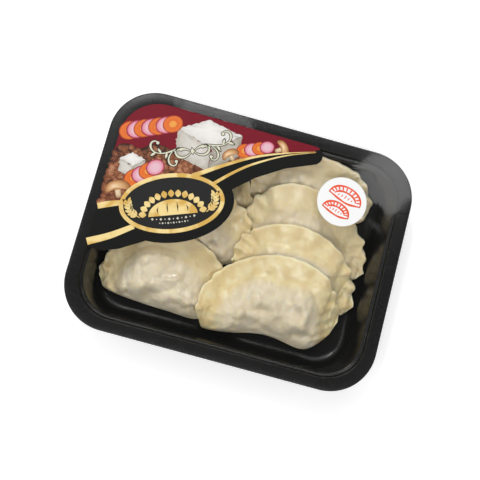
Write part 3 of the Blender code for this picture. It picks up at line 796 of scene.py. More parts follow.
def add_parts(name, parts, material):
    """One mesh out of several closed pieces, each given as rings of points."""
    vertices, faces, start = [], [], 0
    for rings in parts:
        count, around = rings.shape[:2]
        vertices.append(rings.reshape(-1, 3))
        faces += [tuple(start + i for i in face) for face in tube_faces(count, around)]
        start += count * around
    return add_mesh(name, np.concatenate(vertices), faces, material)


film_edge = tray_outline(FILM_INSET, TRAY_CORNER_POINTS)
film = add_parts("film_sheet", [prism(film_edge, FILM_BOTTOM, FILM_BOTTOM + FILM_THICKNESS)],
                 clear_film())
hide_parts("film")
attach(film, "root")

# ---------------------------------------------------------------- the label
# Coated paper, cut to the shape of its own artwork and stuck on the film. It is printed with
# food on a wine-red field, and under it with a black band whose two gold lines run into an
# oval badge. Each ink is a flat layer on the paper.

LABEL_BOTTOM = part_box("label")[0].z
LABEL_INSET = 8.2 * MM
LABEL_TIP = (34.5 * MM, 73.5 * MM)
LABEL_TIP_RADIUS = 7.0 * MM
OVAL_CENTRE = (-54.9 * MM, 11.5 * MM)
OVAL_HALF = (44.7 * MM, 28.7 * MM)  # the black border's outer edge
RING_HALF = (37.8 * MM, 21.8 * MM)
RING_WIDTH = 3.0 * MM
OVAL_TURN = 20.9
SWEEP_RIGHT = [(17.0 * MM, 58.2 * MM), (-2.2 * MM, 45.6 * MM)]
SWEEP_LEFT = [(-82.0 * MM, -30.2 * MM), (-92.4 * MM, -34.4 * MM)]
SWEEP_START = -35.0 * MM  # the label's lowest point at its left edge
BAND_START = -4.7 * MM  # and the black band's highest
LABEL_LEFT = LABEL_INSET - TRAY_LENGTH / 2
PAPER = 0.16 * MM
LAYER = 0.02 * MM  # of ink
LEAF_POINTS = 9  # along each side


def ink(name, colour, roughness=0.42, uneven=0.06):
    """A flat printed colour with a trace of unevenness."""
    finish = Finish(name, Specular_IOR_Level=0.1)
    cloud = finish.noise(6 * MM, detail=5)
    low = [channel * (1 - uneven) for channel in colour] + [1]
    high = [min(channel * (1 + uneven), 1) for channel in colour] + [1]
    return finish.set(Base_Color=finish.mix(low, high, cloud), Roughness=roughness)


def gold_ink(name):
    """Printed gold, shaded in bands from deep to pale."""
    finish = Finish(name, Specular_IOR_Level=0.3)
    bands = finish.noise(13 * MM, detail=1, warp=0.8).between(0.36, 0.64)
    colour = finish.mix((0.66, 0.40, 0.085, 1), (0.86, 0.67, 0.29, 1), bands)
    return finish.set(Base_Color=colour, Roughness=0.36)


def smooth_curve(points, count=40):
    """A curve through the points, with count points in all."""
    points = np.array(points, dtype=float)
    padded = np.concatenate([[2 * points[0] - points[1]], points, [2 * points[-1] - points[-2]]])
    curve = []
    for t in np.linspace(0, len(points) - 1.000001, count):
        i, u = int(t), t % 1
        p0, p1, p2, p3 = padded[i:i + 4]
        curve.append(0.5 * (2 * p1 + (p2 - p0) * u + (2 * p0 - 5 * p1 + 4 * p2 - p3) * u ** 2
                            + (3 * p1 - p0 - 3 * p2 + p3) * u ** 3))
    return np.array(curve)


def strip(points, widths, low, high):
    """A line as the rings of a square tube. Its widths are in millimetres."""
    points = np.array(points, dtype=float)
    way = np.gradient(points, axis=0)
    way = way / np.linalg.norm(way, axis=1)[:, None]
    side = np.column_stack([-way[:, 1], way[:, 0]])
    places, given = np.linspace(0, 1, len(points)), np.linspace(0, 1, len(widths))
    half = np.interp(places, given, widths)[:, None] * MM / 2
    left, right = points + side * half, points - side * half
    return np.stack([at_height(left, low), at_height(right, low), at_height(right, high),
                     at_height(left, high)], axis=1)


def leaf(base, heading, length, width):
    """The outline of a leaf or a grain that points along heading, in degrees."""
    u = np.linspace(0, 1, LEAF_POINTS)
    side = width / 2 * np.sin(math.pi * u) ** 0.8
    local = np.concatenate([np.column_stack([u * length, side]),
                            np.column_stack([u * length, -side])[-2:0:-1]])
    return turned(local, base, heading)


def turned(local, base, heading):
    """Local points turned by heading degrees and moved to base."""
    local = np.asarray(local, dtype=float)
    cosine, sine = math.cos(math.radians(heading)), math.sin(math.radians(heading))
    return np.column_stack([base[0] + local[:, 0] * cosine - local[:, 1] * sine,
                            base[1] + local[:, 0] * sine + local[:, 1] * cosine])


def add_print(name, parts, material):
    piece = add_parts(name, parts, material)
    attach(piece, "root")
    return piece


def oval_arc(half, start, end, count):
    return arc(OVAL_CENTRE, half, OVAL_TURN, start, end, count)


def level(layers):
    """The height of so many layers of ink on the paper."""
    return LABEL_BOTTOM + PAPER + layers * LAYER


BAND_TOP, LINE_TOP, FIELD_TOP = level(4), level(5), level(5.5)
GOLD_TOP, CREASE_TOP = level(6.5), level(7)
top_corner = rim_corner(LABEL_INSET, -1, 1, 24)[::-1]
tip = arc(LABEL_TIP, (LABEL_TIP_RADIUS, LABEL_TIP_RADIUS), 0, 80, -60, 24)
lower_edge = np.concatenate([SWEEP_RIGHT, oval_arc(OVAL_HALF, 12, -118, 60), SWEEP_LEFT])
label_edge = np.concatenate([[(LABEL_LEFT, SWEEP_START)], top_corner, tip, lower_edge])
sheet = add_parts("label_sheet", [prism(label_edge, LABEL_BOTTOM, level(0))],
                  ink("wine_red_ink", (0.185, 0.009, 0.020)))
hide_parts("label")
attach(sheet, "root")

# The middles of the gold lines, from the label's left edge inwards and from the oval to the
# tip.
upper_left = smooth_curve(np.array([(-105.2, -4.7), (-98, -1.2), (-90, 2.0)]) * MM)
upper_right = smooth_curve(np.array([(-46, 34.8), (-26.2, 48.6), (-6.6, 60.4), (14, 69.2),
                                     (35.6, 76.5)]) * MM)
lower_left = smooth_curve(np.array([(-105.2, -31.2), (-90.8, -22.8), (-76.5, -12)]) * MM)
lower_right = smooth_curve(np.array([(-30, 33.5), (-17.5, 46), (-5.1, 55.8), (14.6, 67.4),
                                     (36.0, 76.1)]) * MM)
over_oval = oval_arc(np.array(RING_HALF) - RING_WIDTH / 2, 175, 62, 40)
band_edge = np.concatenate([[(LABEL_LEFT, SWEEP_START), (LABEL_LEFT, BAND_START)],
                            upper_left[2:-2], over_oval, upper_right[3:-1], tip[4:], lower_edge])
add_print("label_band", [prism(band_edge, level(0), BAND_TOP)],
          ink("black_ink", (0.0065, 0.0072, 0.0062)))
add_print("label_lines", [
    strip(upper_left, (4.2, 4.4, 3.6), BAND_TOP, LINE_TOP),
    strip(upper_right, (3.4, 2.4, 1.7, 1.0, 0.3), BAND_TOP, LINE_TOP),
    strip(lower_left, (5.2, 4.6, 3.6), BAND_TOP, LINE_TOP),
    strip(lower_right, (2.4, 2.0, 1.6, 0.9, 0.3), BAND_TOP, LINE_TOP),
], gold_ink("gold_line_ink"))

# The badge: a charcoal field, a gold ring, and a half-moon dumpling with a sprig each side.
badge = oval_arc(np.array(RING_HALF) - RING_WIDTH / 2, 0, 357, 120)
add_print("badge_field", [prism(badge, BAND_TOP, FIELD_TOP)],
          ink("charcoal_ink", (0.019, 0.020, 0.019)))
RING_POINTS = 144
ring_rows = []
for inset, z in ((0, FIELD_TOP), (0, GOLD_TOP), (RING_WIDTH, GOLD_TOP), (RING_WIDTH, FIELD_TOP)):
    edge = oval_arc(np.array(RING_HALF) - inset, 0, 360 - 360 / RING_POINTS, RING_POINTS)
    ring_rows.append(at_height(edge, z))
hoop = np.stack(ring_rows, axis=1)
hoop_faces = []
for a in range(RING_POINTS):
    here, after = 4 * a, 4 * ((a + 1) % RING_POINTS)
    for b in range(4):
        hoop_faces.append((here + b, here + (b + 1) % 4, after + (b + 1) % 4, after + b))
ring = add_mesh("badge_ring", hoop.reshape(-1, 3), hoop_faces, gold_ink("gold_ring_ink"))
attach(ring, "root")


def drawn(points, drawing):
    """Points in millimetres from a drawing's centre, turned with it and moved to it."""
    centre, turn = drawing
    return turned(np.asarray(points, dtype=float) * MM, centre, turn)


def on_field(points):
    """A flat shape printed on the badge's field."""
    return prism(drawn(points, BADGE), FIELD_TOP, GOLD_TOP)


BADGE = (OVAL_CENTRE, OVAL_TURN)
EMBLEM_HALF = (17.6, 11.4)  # of the half-moon, in millimetres
EMBLEM_BASE = -8.6
PETALS = 13
PETAL_GAP = 1.5
PETAL, GRAIN = (5.6, 4.3), (4.8, 2.1)  # lengths and widths
GRAIN_LEAN = 38
SPRIG = np.array([(24, -8.5), (29.5, -3.5), (31.5, 4)])
emblem = []
for i in range(PETALS):
    angle = math.pi * (i + 0.5) / PETALS
    foot = np.array(((EMBLEM_HALF[0] + PETAL_GAP) * math.cos(angle),
                     (EMBLEM_HALF[1] + PETAL_GAP) * math.sin(angle) + EMBLEM_BASE))
    heading = math.degrees(math.atan2(math.sin(angle) / EMBLEM_HALF[1],
                                      math.cos(angle) / EMBLEM_HALF[0]))
    emblem.append(on_field(leaf(foot, heading, *PETAL)))
angles = np.linspace(0, math.pi, 40)
body = np.column_stack([EMBLEM_HALF[0] * np.cos(angles),
                        EMBLEM_HALF[1] * np.sin(angles) + EMBLEM_BASE])
emblem.append(on_field(body))
for side in (-1, 1):
    stem = smooth_curve(SPRIG * (side, 1))
    emblem.append(strip(drawn(stem, BADGE), (0.7, 0.9, 0.4), FIELD_TOP, level(6.2)))
    for k in range(6, 38, 6):
        along_stem = stem[k + 2] - stem[k - 2]
        way = math.degrees(math.atan2(along_stem[1], along_stem[0]))
        for lean in (-GRAIN_LEAN, GRAIN_LEAN):
            emblem.append(on_field(leaf(stem[k], way + lean, *GRAIN)))
add_print("badge_emblem", emblem, gold_ink("gold_emblem_ink"))

# Short folds across the half-moon, given by their place and height.
foot = EMBLEM_BASE + 2
creases = []
for x, tall in ((-10.5, 4.4), (-3.6, 7.0), (3.6, 7.0), (10.5, 4.4)):
    line = smooth_curve([(x, foot), (x * 1.04, foot + tall / 2), (x * 0.96, foot + tall)], 12)
    creases.append(strip(drawn(line, BADGE), (0.2, 1.0, 0.2), GOLD_TOP, CREASE_TOP))
add_print("badge_creases", creases, ink("emblem_line_ink", (0.03, 0.024, 0.014)))

# Two rows of small cream lozenges under the half-moon, given by their height, pitch and sizes.
LOZENGES_EACH = 11
ROW_BEND = 0.004
lozenges = []
for row_y, pitch, sizes in ((-11.4, 3.0, (1.0, 0.55)), (-14.2, 2.0, (0.5, 0.8))):
    for i in range(LOZENGES_EACH):
        x = pitch * (i - (LOZENGES_EACH - 1) / 2)
        y = row_y + ROW_BEND * x * x
        half = sizes[i % 2]
        lozenges.append(on_field([(x - half, y), (x, y - half), (x + half, y), (x, y + half)]))
add_print("badge_lozenges", lozenges, ink("cream_ink", (0.62, 0.585, 0.48)))

# The printed food: a heap of fried crumbs over its shadow, white cheese, slices of carrot and
# radish, and brown mushrooms. The gold lines and the oval bound the heap.
HEAP_TOP = np.array([(-104.9, 6), (-104.9, 38), (-98, 45), (-88, 44), (-79, 50), (-68, 49),
                     (-58, 45), (-46, 44), (-35, 49), (-24, 55), (-12, 61.5), (0, 66)])
heap = np.concatenate([smooth_curve(HEAP_TOP * MM, 60), upper_right[23:3:-1], over_oval[::-1],
                       upper_left[-2:3:-1]])
SHADOW_TOP = level(0.5)
add_print("heap_shadow", [prism(heap, level(0), SHADOW_TOP)],
          ink("heap_ink", (0.040, 0.017, 0.010)))


CRUMB_CORNERS = 12
# Rings of a crumb from its foot to its top: size, lean, height, and how near its rim.
CRUMB_RINGS = [(0.92, 0.0, 0.0, 1.0), (1.0, 0.0, 0.3, 1.0), (0.84, 0.02, 0.7, 0.6),
               (0.56, 0.07, 0.9, 0.2), (0.2, 0.12, 1.0, 0.0)]


def crumb_shape(material):
    """One flat crumb about 1 unit across. The attribute edge is 1 at its rim."""
    rng = np.random.default_rng(5)
    angles = np.linspace(0, 2 * math.pi, CRUMB_CORNERS, endpoint=False)
    radius = rng.uniform(0.36, 0.56, CRUMB_CORNERS)
    rim = np.column_stack([radius * np.cos(angles), radius * np.sin(angles)])
    rows = [at_height(rim * size + (0, lean), z) for size, lean, z, _ in CRUMB_RINGS]
    piece = add_mesh("crumb_shape", np.concatenate(rows),
                     tube_faces(len(CRUMB_RINGS), CRUMB_CORNERS), material)
    store(piece, "edge", np.repeat([ring[-1] for ring in CRUMB_RINGS], CRUMB_CORNERS))
    return piece


def brown_crumbs():
    finish = Finish("crumb_ink", Specular_IOR_Level=0.2, Roughness=0.42)
    tone = finish.attribute("tone")
    spots = finish.noise(1.3 * MM, detail=3)
    light = (0.62 * tone + 0.85 * spots - 0.05 - 0.62 * finish.attribute("edge")).clamped()
    colour = finish.node("ShaderNodeValToRGB", {"stops": [
        (0.0, (0.022, 0.009, 0.006, 1)), (0.32, (0.12, 0.034, 0.014, 1)),
        (0.68, (0.26, 0.085, 0.034, 1)), (1.0, (0.50, 0.24, 0.13, 1))]}, {0: light})
    return finish.set(Base_Color=colour)


class Tree:
    """A Geometry Nodes tree in the making."""

    def __init__(self, name, inputs):
        self.group = bpy.data.node_groups.new(name, "GeometryNodeTree")
        add = self.group.interface.new_socket
        add("Geometry", in_out="OUTPUT", socket_type="NodeSocketGeometry")
        self.ids = {}
        for label, kind in {"Geometry": "NodeSocketGeometry", **inputs}.items():
            self.ids[label] = add(label, in_out="INPUT", socket_type=kind).identifier
        self.inputs = self.group.nodes.new("NodeGroupInput").outputs

    def node(self, kind, settings=(), sockets=()):
        made = self.group.nodes.new(kind)
        for name, value in dict(settings).items():
            setattr(made, name, value)
        for key, value in dict(sockets).items():
            if isinstance(value, bpy.types.NodeSocket):
                self.group.links.new(value, made.inputs[key])
            else:
                made.inputs[key].default_value = value
        return made

    def random(self, low, high, seed):
        """A number that differs from one instance to the next."""
        made = self.node("FunctionNodeRandomValue", {"data_type": "FLOAT"},
                         {2: low, 3: high, "Seed": seed})
        return made.outputs[1]

    def product(self, first, second):
        settings = {"operation": "MULTIPLY"}
        return self.node("ShaderNodeMath", settings, {0: first, 1: second}).outputs[0]

    def run(self, carrier, values):
        """Adds the tree to the carrier object and turns its result into plain mesh."""
        modifier = carrier.modifiers.new(self.group.name, "NODES")
        modifier.node_group = self.group
        for label, value in values.items():
            modifier[self.ids[label]] = value
        shown = carrier.evaluated_get(bpy.context.evaluated_depsgraph_get())
        mesh = bpy.data.meshes.new_from_object(shown)
        carrier.modifiers.remove(modifier)
        carrier.data = mesh
        return carrier


crumb_ink = brown_crumbs()
crumb = crumb_shape(crumb_ink)
tree = Tree("scatter_crumbs", {"Crumb": "NodeSocketObject", "Pitch": "NodeSocketFloat",
                               "Size": "NodeSocketFloat", "Rise": "NodeSocketFloat",
                               "Ink": "NodeSocketMaterial"})
places = tree.node("GeometryNodeDistributePointsOnFaces", {"distribute_method": "POISSON"}, {
    "Mesh": tree.inputs["Geometry"], "Distance Min": tree.inputs["Pitch"],
    "Density Max": 900000.0, "Seed": 4})
source = tree.node("GeometryNodeObjectInfo", {}, {"Object": tree.inputs["Crumb"]})
spin = tree.node("FunctionNodeRandomValue", {"data_type": "FLOAT_VECTOR"},
                 {0: (0, 0, 0), 1: (0, 0, 2 * math.pi), "Seed": 1})
wide = tree.product(tree.random(0.65, 1.25, 2), tree.inputs["Size"])
tall = tree.product(tree.random(0.3, 1.0, 3), tree.inputs["Rise"])
size = tree.node("ShaderNodeCombineXYZ", {}, {"X": wide, "Y": wide, "Z": tall})
crumbs = tree.node("GeometryNodeInstanceOnPoints", {}, {
    "Points": places.outputs["Points"], "Instance": source.outputs["Geometry"],
    "Rotation": spin.outputs[0], "Scale": size.outputs[0]})
tone = tree.random(0.0, 1.0, 6)
toned = tree.node("GeometryNodeStoreNamedAttribute", {"data_type": "FLOAT", "domain": "INSTANCE"},
                  {"Geometry": crumbs.outputs[0], "Name": "tone", "Value": tone})
whole = tree.node("GeometryNodeRealizeInstances", {}, {"Geometry": toned.outputs[0]})
inked = tree.node("GeometryNodeSetMaterial", {}, {"Geometry": whole.outputs[0],
                                                  "Material": tree.inputs["Ink"]})
tree.node("NodeGroupOutput", {}, {"Geometry": inked.outputs[0]})

# The crumbs' middles stay a little inside the heap's outline.
ground_top = smooth_curve((HEAP_TOP + (1.7, -2.2)) * MM, 60)
ground = np.concatenate([ground_top, upper_right[20:3:-1] + (0, 2.4 * MM),
                         over_oval[::-1] + (0, 0.8 * MM), upper_left[-2:6:-1]])
emitter = add_mesh("label_crumbs", at_height(ground, SHADOW_TOP),
                   [tuple(range(len(ground)))], crumb_ink)
tree.run(emitter, {"Crumb": crumb, "Pitch": 3.1 * MM, "Size": 7.2 * MM, "Rise": 2.4 * LAYER,
                   "Ink": crumb_ink})
bpy.data.objects.remove(crumb)
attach(emitter, "root")


SHADE_STEPS = 12
SHADE_HEART = 0.04  # size of the innermost ring
SHADE_RISE = 0.25


def add_shaded(name, shapes, material):
    """Printed shapes that look round, in one mesh. Each is an outline, its lit point and its
    lowest level. The attribute depth runs from 0 at the lit point to 1 at the edge."""
    shares = np.linspace(1, SHADE_HEART, SHADE_STEPS)
    parts, depths = [], []
    for outline, lit, low in shapes:
        outline, lit = np.asarray(outline) * MM, np.asarray(lit) * MM
        rows = [at_height(lit + (outline - lit) * share, level(low + SHADE_RISE))
                for share in shares]
        parts.append(np.stack([at_height(outline, level(low)), *rows]))
        depths.append(np.repeat([1.0, *shares], len(outline)))
    store(add_print(name, parts, material), "depth", np.concatenate(depths))


def shaded_ink(name, stops, ragged=0.12, pitch=1.8 * MM):
    """Colours from the lit point to the edge, each given as (depth, red, green, blue)."""
    finish = Finish(name, Specular_IOR_Level=0.2, Roughness=0.42)
    cloud = finish.noise(pitch, detail=5, rough=0.6)
    place = (finish.attribute("depth") + ragged * (cloud - 0.5)).clamped()
    ramp = [(stop[0], (*stop[1:], 1)) for stop in stops]
    return finish.set(Base_Color=finish.node("ShaderNodeValToRGB", {"stops": ramp}, {0: place}))


def rough_edge(corners, rng):
    """The outline through the corners, broken up as crumbly cheese breaks."""
    points = []
    for start, end in zip(corners, corners[1:] + corners[:1]):
        start, end = np.array(start, dtype=float), np.array(end, dtype=float)
        count = max(int(np.linalg.norm(end - start) / BREAK_STEP), 2)
        for share in np.arange(count) / count:
            stray = rng.normal(0, BREAK_STRAY, 2) * (share > 0)
            points.append(start + (end - start) * share + stray)
    return np.array(points)


BREAK_STEP = 1.4
BREAK_STRAY = 0.35
# The cheese is drawn as the lit top and two shaded sides of a block and of a piece cut from it.
CHEESE_FACES = [
    ("top", [(-66, 66), (-45, 78.5), (-19, 73), (-38, 58)]),
    ("side", [(-66, 66), (-38, 58), (-37, 41), (-62, 46)]),
    ("end", [(-38, 58), (-19, 73), (-17, 58), (-37, 41)]),
    ("top", [(-100, 33), (-92, 40), (-82, 37), (-89, 30)]),
    ("side", [(-100, 33), (-89, 30), (-88.5, 21), (-98.5, 24)]),
    ("end", [(-89, 30), (-82, 37), (-81, 29), (-88.5, 21)]),
]
CHEESE_TONES = {
    "top": [(0.0, 0.84, 0.82, 0.79), (0.6, 0.78, 0.755, 0.72), (1.0, 0.66, 0.635, 0.60)],
    "side": [(0.0, 0.68, 0.65, 0.60), (0.6, 0.61, 0.575, 0.52), (1.0, 0.47, 0.43, 0.37)],
    "end": [(0.0, 0.52, 0.485, 0.42), (0.6, 0.45, 0.41, 0.35), (1.0, 0.31, 0.275, 0.225)],
}
rng = np.random.default_rng(31)
faces_of = {kind: [] for kind in CHEESE_TONES}
for order, (kind, corners) in enumerate(CHEESE_FACES):
    outline = rough_edge(corners, rng)
    lit = 0.7 * outline.mean(axis=0) + 0.3 * np.array(corners[1])
    faces_of[kind].append((outline, lit, 3.0 + 0.1 * (order % 3)))
for kind, stops in CHEESE_TONES.items():
    add_shaded("label_cheese_" + kind, faces_of[kind],
               shaded_ink("cheese_ink_" + kind, stops, ragged=0.9, pitch=5 * MM))


def round_slice(x, y, radius, squash, turn, low):
    """A slice seen a little from the side, lit at its middle."""
    return arc((x, y), (radius, radius * squash), turn, 0, 352, 46), (x, y), low


def mushroom(x, y, width, turn, low):
    """A mushroom's stem and cap, drawn one unit wide. The cap is lit at its upper left."""
    stem = np.concatenate([[(-0.26, 0.1), (-0.22, -0.55)],
                           arc((0, -0.55), (0.22, 0.16), 0, 195, 345, 8),
                           [(0.22, -0.55), (0.26, 0.1)]])
    under = smooth_curve([(-0.86, -0.22), (-0.3, -0.06), (0.3, -0.06), (0.86, -0.22)], 12)
    cap = np.concatenate([arc((0, 0), (1, CAP_TALL), 0, -8, 188, 32), under])
    shapes = []
    for outline, lit, height in ((stem, (-0.06, -0.2), low),
                                 (cap, (-0.28, 0.34 * CAP_TALL), low + 0.3)):
        placed = turned(np.concatenate([outline, [lit]]) * width, (x, y), turn)
        shapes.append((placed[:-1], placed[-1], height))
    return shapes


CAP_TALL = 0.72
CARROT_STOPS = [(0.0, 0.80, 0.36, 0.07), (0.34, 0.78, 0.31, 0.05), (0.42, 0.70, 0.14, 0.02),
                (0.84, 0.74, 0.17, 0.025), (0.93, 0.50, 0.07, 0.012), (1.0, 0.22, 0.03, 0.01)]
RADISH_STOPS = [(0.0, 0.72, 0.50, 0.55), (0.45, 0.76, 0.46, 0.53), (0.74, 0.72, 0.31, 0.39),
                (0.83, 0.66, 0.22, 0.30), (0.9, 0.45, 0.04, 0.08), (1.0, 0.20, 0.02, 0.04)]
CAP_STOPS = [(0.0, 0.86, 0.68, 0.46), (0.3, 0.74, 0.48, 0.26), (0.7, 0.52, 0.26, 0.10),
             (0.92, 0.32, 0.13, 0.045), (1.0, 0.14, 0.05, 0.02)]
STEM_STOPS = [(0.0, 0.80, 0.64, 0.44), (0.6, 0.66, 0.48, 0.29), (1.0, 0.28, 0.16, 0.08)]
# Each fan is a row of overlapping slices, by turns of carrot and radish: the first slice's
# x, y and radius, the last one's, the turn of the slices and how many there are.
FANS = [((-98.5, 55, 8.2), (-70, 68, 7.6), 38, 7), ((-14.5, 63.0, 6.4), (0.5, 70.0, 5.6), 25, 4),
        ((-86, 22, 7.6), (-73.5, 33.5, 7.0), 45, 4)]
SLICE_SQUASH = 0.84
SLICE_LEVEL, SLICE_RISE = 3.3, 0.14  # the first slice's level, and each next one's rise
slices = {"carrot": [], "radish": []}
for first, last, turn, count in FANS:
    for k, share in enumerate(np.linspace(0, 1, count)):
        x, y, radius = (1 - share) * np.array(first) + share * np.array(last)
        slices[("carrot", "radish")[k % 2]].append(
            round_slice(x, y, radius, SLICE_SQUASH, turn, SLICE_LEVEL + SLICE_RISE * k))
add_shaded("label_carrots", slices["carrot"], shaded_ink("carrot_ink", CARROT_STOPS))
add_shaded("label_radishes", slices["radish"], shaded_ink("radish_ink", RADISH_STOPS))
# x, y, half the cap's width, turn and level of each mushroom.
MUSHROOMS = [(11.0, 71.4, 7.2, -58, 3.4), (-95.0, 11.0, 9.4, 24, 3.4), (-23.5, 57.0, 6.6, 40, 4.4)]
stems, caps = zip(*[mushroom(*spec) for spec in MUSHROOMS])
add_shaded("label_mushroom_stems", stems, shaded_ink("mushroom_stem_ink", STEM_STOPS))
add_shaded("label_mushroom_caps", caps, shaded_ink("mushroom_cap_ink", CAP_STOPS))


def scroll(start, heading, length, bends):
    """A curve whose bend, in degrees for each millimetre, runs through the given values."""
    step = length / (SCROLL_POINTS - 1)
    share = np.linspace(0, 1, SCROLL_POINTS)
    bend = np.interp(share, np.linspace(0, 1, len(bends)), bends)
    way = np.radians(heading + np.cumsum(bend) * step)
    moves = step * np.column_stack([np.cos(way), np.sin(way)])
    return np.array(start) + np.concatenate([[(0, 0)], np.cumsum(moves, axis=0)[:-1]])


# A cream pen flourish with a dark outline, over the food: scrolls each way from a lozenge,
# which end in balls, with a few leaves.
ORNAMENT = ((-51.0 * MM, 52.5 * MM), 24)  # its centre and turn
SCROLL_POINTS = 48
BALL = 1.15
main = scroll((1.8, 0.4), 42, 40, [-6.5, -3.5, 1.5, 6, 13, 26])
branch = scroll(main[14], -30, 19, [-4, -7, -16, -34])
loop = scroll((1.2, -0.6), -52, 21, [5, 9, 15, 30])
flourish = {"edge": [], "fill": []}
for kind, margin, low, high in (("edge", 1.0, 4.3, 4.7), ("fill", 0.0, 4.7, 5.1)):
    target = flourish[kind]
    for mirror in (-1, 1):
        for curve, widths in ((main, (0.5, 1.9, 1.0, 0.6, 1.5, 0.6)), (branch, (0.4, 1.3, 0.6)),
                              (loop, (0.5, 1.6, 0.6))):
            line = curve * (mirror, 1)
            thick = [width + margin for width in widths]
            target.append(strip(drawn(line, ORNAMENT), thick, level(low), level(high)))
            ball = arc(line[-1], (BALL + margin / 2, BALL + margin / 2), 0, 0, 340, 18)
            target.append(prism(drawn(ball, ORNAMENT), level(low), level(high + 0.05)))
        for k, lean in ((20, -60), (25, 55), (30, -60)):
            way = np.degrees(np.arctan2(*(main[k + 1] - main[k])[::-1]))
            sprout = leaf(main[k], way + lean, 4.6 + margin, 1.7 + margin) * (mirror, 1)
            target.append(prism(drawn(sprout, ORNAMENT), level(low), level(high + 0.1)))
    half = 1.5 + margin / 2
    lozenge = [(-half, 0), (0, -1.6 * half), (half, 0), (0, 1.6 * half)]
    target.append(prism(drawn(lozenge, ORNAMENT), level(low), level(high + 0.15)))
add_print("flourish_edge", flourish["edge"], ink("flourish_edge_ink", (0.022, 0.020, 0.014)))
add_print("flourish", flourish["fill"], ink("flourish_ink", (0.68, 0.67, 0.52)))

# ---------------------------------------------------------------- the sticker
# A round white paper sticker, pressed onto the film near the label's tip. Its hand-drawn mark
# is printed in orange-red ink.

STICKER_LOW, STICKER_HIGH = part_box("sticker")
STICKER_CENTRE = (STICKER_LOW + STICKER_HIGH) / 2
STICKER_RADIUS = (STICKER_HIGH.x - STICKER_LOW.x) / 2
INK_LOW, INK_HIGH = STICKER_HIGH.z - 2 * LAYER, STICKER_HIGH.z
disc = arc(STICKER_CENTRE, (STICKER_RADIUS, STICKER_RADIUS), 0, 0, 357, 120)
sticker = add_parts("sticker_disc", [prism(disc, STICKER_LOW.z, INK_LOW)],
                    ink("sticker_white", (0.90, 0.90, 0.90), roughness=0.5, uneven=0.02))
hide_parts("sticker")
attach(sticker, "root")

# The mark is two drawn half-moons, each given by the middle of its fold and its size.
MARK = (STICKER_CENTRE, -14)  # its centre and turn
HALF_MOONS = [((0.8, 2.6), 1.18), ((-0.8, -9.2), 0.98)]
MOON_HALF, SEAM_HALF = np.array([(10.5, 7.6), (7.3, 4.2)])
THIN_TOP = INK_HIGH - 0.4 * LAYER
DASHES = 10
DASH_REACH = (7.8, 9.0, 10.2)
DASH_SQUASH = 3.0  # how much less the dashes reach up than sideways
strokes = []
for middle, size in HALF_MOONS:
    angle = np.linspace(-0.06, math.pi + 0.06, 50)
    half_circle = np.column_stack([np.cos(angle), np.sin(angle)])
    dome_line, seam_line = half_circle * MOON_HALF * size, half_circle[4:-4] * SEAM_HALF * size
    fold_line = smooth_curve([(-10.6 * size, 0), (-3, -1.6 * size), (4, -1.9 * size),
                              (10.6 * size, 0)])
    for line in (dome_line, fold_line, seam_line):
        strokes.append(strip(drawn(line + middle, MARK), (0.8, 1.5, 1.1, 1.6, 0.8),
                             INK_LOW, INK_HIGH))
    for i in range(DASHES):
        turn = math.pi * (i + 1) / (DASHES + 1)
        dash = np.array([(reach * math.cos(turn), (reach - DASH_SQUASH) * math.sin(turn))
                         for reach in DASH_REACH]) * size
        strokes.append(strip(drawn(dash + middle, MARK), (0.6, 1.2, 0.8), INK_LOW, THIN_TOP))
    for i in range(-2, 3):
        fold = smooth_curve([(i * 2.3 - 0.3, 0.2 + abs(i) * 0.1),
                             (i * 2.2 + 0.2, 2.6 - abs(i) * 0.5)], 8) * size
        strokes.append(strip(drawn(fold + middle, MARK), (0.5, 0.9, 0.4), INK_LOW, THIN_TOP))
mark = add_parts("sticker_mark", strokes, ink("orange_red_ink", (0.80, 0.095, 0.035)))
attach(mark, "root")

# ---------------------------------------------------------------- the studio
# A white floor, large soft lamps in a ring round the tray with a dark middle, so that the
# film and the bowl stay clear, small lamps for the highlights, and the camera above.

CAMERA_AIM = Vector((-1.0, -1.1, 39.4)) * MM
CAMERA_AZIMUTH = -7.54
CAMERA_ELEVATION = 80.2
CAMERA_ROLL = 22.76
CAMERA_DISTANCE = 619.4 * MM
CAMERA_LENS = 64.9
FLOOR_SIZE = 6.0
LAMP_AIM = Vector((0, 0, 0.02))
ROOM_LIGHT = 0.11


def direction(azimuth, elevation):
    azimuth, elevation = math.radians(azimuth), math.radians(elevation)
    return Vector((math.sin(azimuth) * math.cos(elevation),
                   -math.cos(azimuth) * math.cos(elevation), math.sin(elevation)))


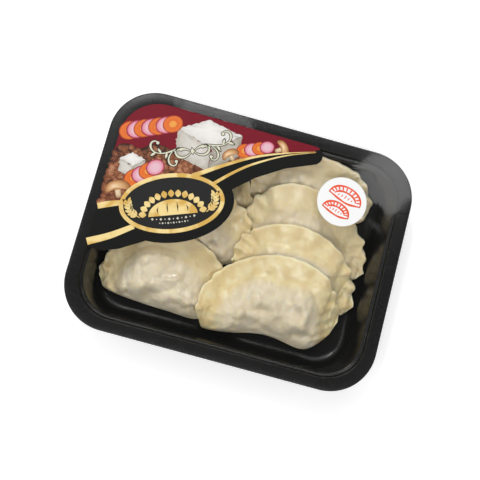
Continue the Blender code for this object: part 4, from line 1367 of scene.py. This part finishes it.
def add_lamp(name, place, size, power):
    lamp = bpy.data.lights.new(name, "AREA")
    lamp.shape = "RECTANGLE"
    lamp.size, lamp.size_y = size
    lamp.energy = power
    holder = bpy.data.objects.new(name, lamp)
    holder.location = place
    holder.rotation_euler = (LAMP_AIM - Vector(place)).to_track_quat("-Z", "Y").to_euler()
    bpy.context.scene.collection.objects.link(holder)


def floor_paint():
    finish = Finish("floor_paint")
    mottle = finish.noise(0.35, detail=2)
    return finish.set(Base_Color=finish.mix((0.93, 0.93, 0.93, 1), (0.95, 0.95, 0.95, 1), mottle),
                      Roughness=0.9, Emission_Color=(1, 1, 1, 1), Emission_Strength=0.35)


half_floor = FLOOR_SIZE / 2
corners = [(-half_floor, -half_floor, 0), (half_floor, -half_floor, 0),
           (half_floor, half_floor, 0), (-half_floor, half_floor, 0)]
floor = add_mesh("floor", corners, [(0, 1, 2, 3)], floor_paint())

add_lamp("back_lamp", (-0.25, 0.82, 1.20), (1.50, 0.65), 7.4)
add_lamp("front_lamp", (0.00, -0.58, 1.25), (1.50, 0.60), 10.4)
add_lamp("left_lamp", (-1.00, 0.10, 1.05), (0.60, 1.10), 3.6)
add_lamp("right_lamp", (1.05, 0.10, 1.05), (0.60, 1.10), 1.6)
add_lamp("corner_lamp", (0.30, 0.42, 1.20), (0.13, 0.12), 0.26)
add_lamp("rim_lamp", (-0.10, 0.47, 1.20), (0.16, 0.10), 0.18)
add_lamp("spark_lamp", (-0.28, 0.50, 1.00), (0.05, 0.05), 1.5)

scene = bpy.context.scene
scene.world = bpy.data.worlds.new("soft_room")
scene.world.use_nodes = True
background = scene.world.node_tree.nodes["Background"]
background.inputs["Color"].default_value = (1, 1, 1, 1)
background.inputs["Strength"].default_value = ROOM_LIGHT
scene.view_settings.view_transform = "Standard"

camera_data = bpy.data.cameras.new("camera")
camera_data.lens = CAMERA_LENS
camera_data.clip_start = 0.01
camera = bpy.data.objects.new("camera", camera_data)
back = direction(CAMERA_AZIMUTH, CAMERA_ELEVATION)
look = (-back).to_track_quat("-Z", "Y").to_matrix().to_4x4()
roll = Matrix.Rotation(math.radians(CAMERA_ROLL), 4, "Z")
camera.matrix_world = Matrix.Translation(CAMERA_AIM + back * CAMERA_DISTANCE) @ look @ roll
scene.collection.objects.link(camera)
scene.camera = camera
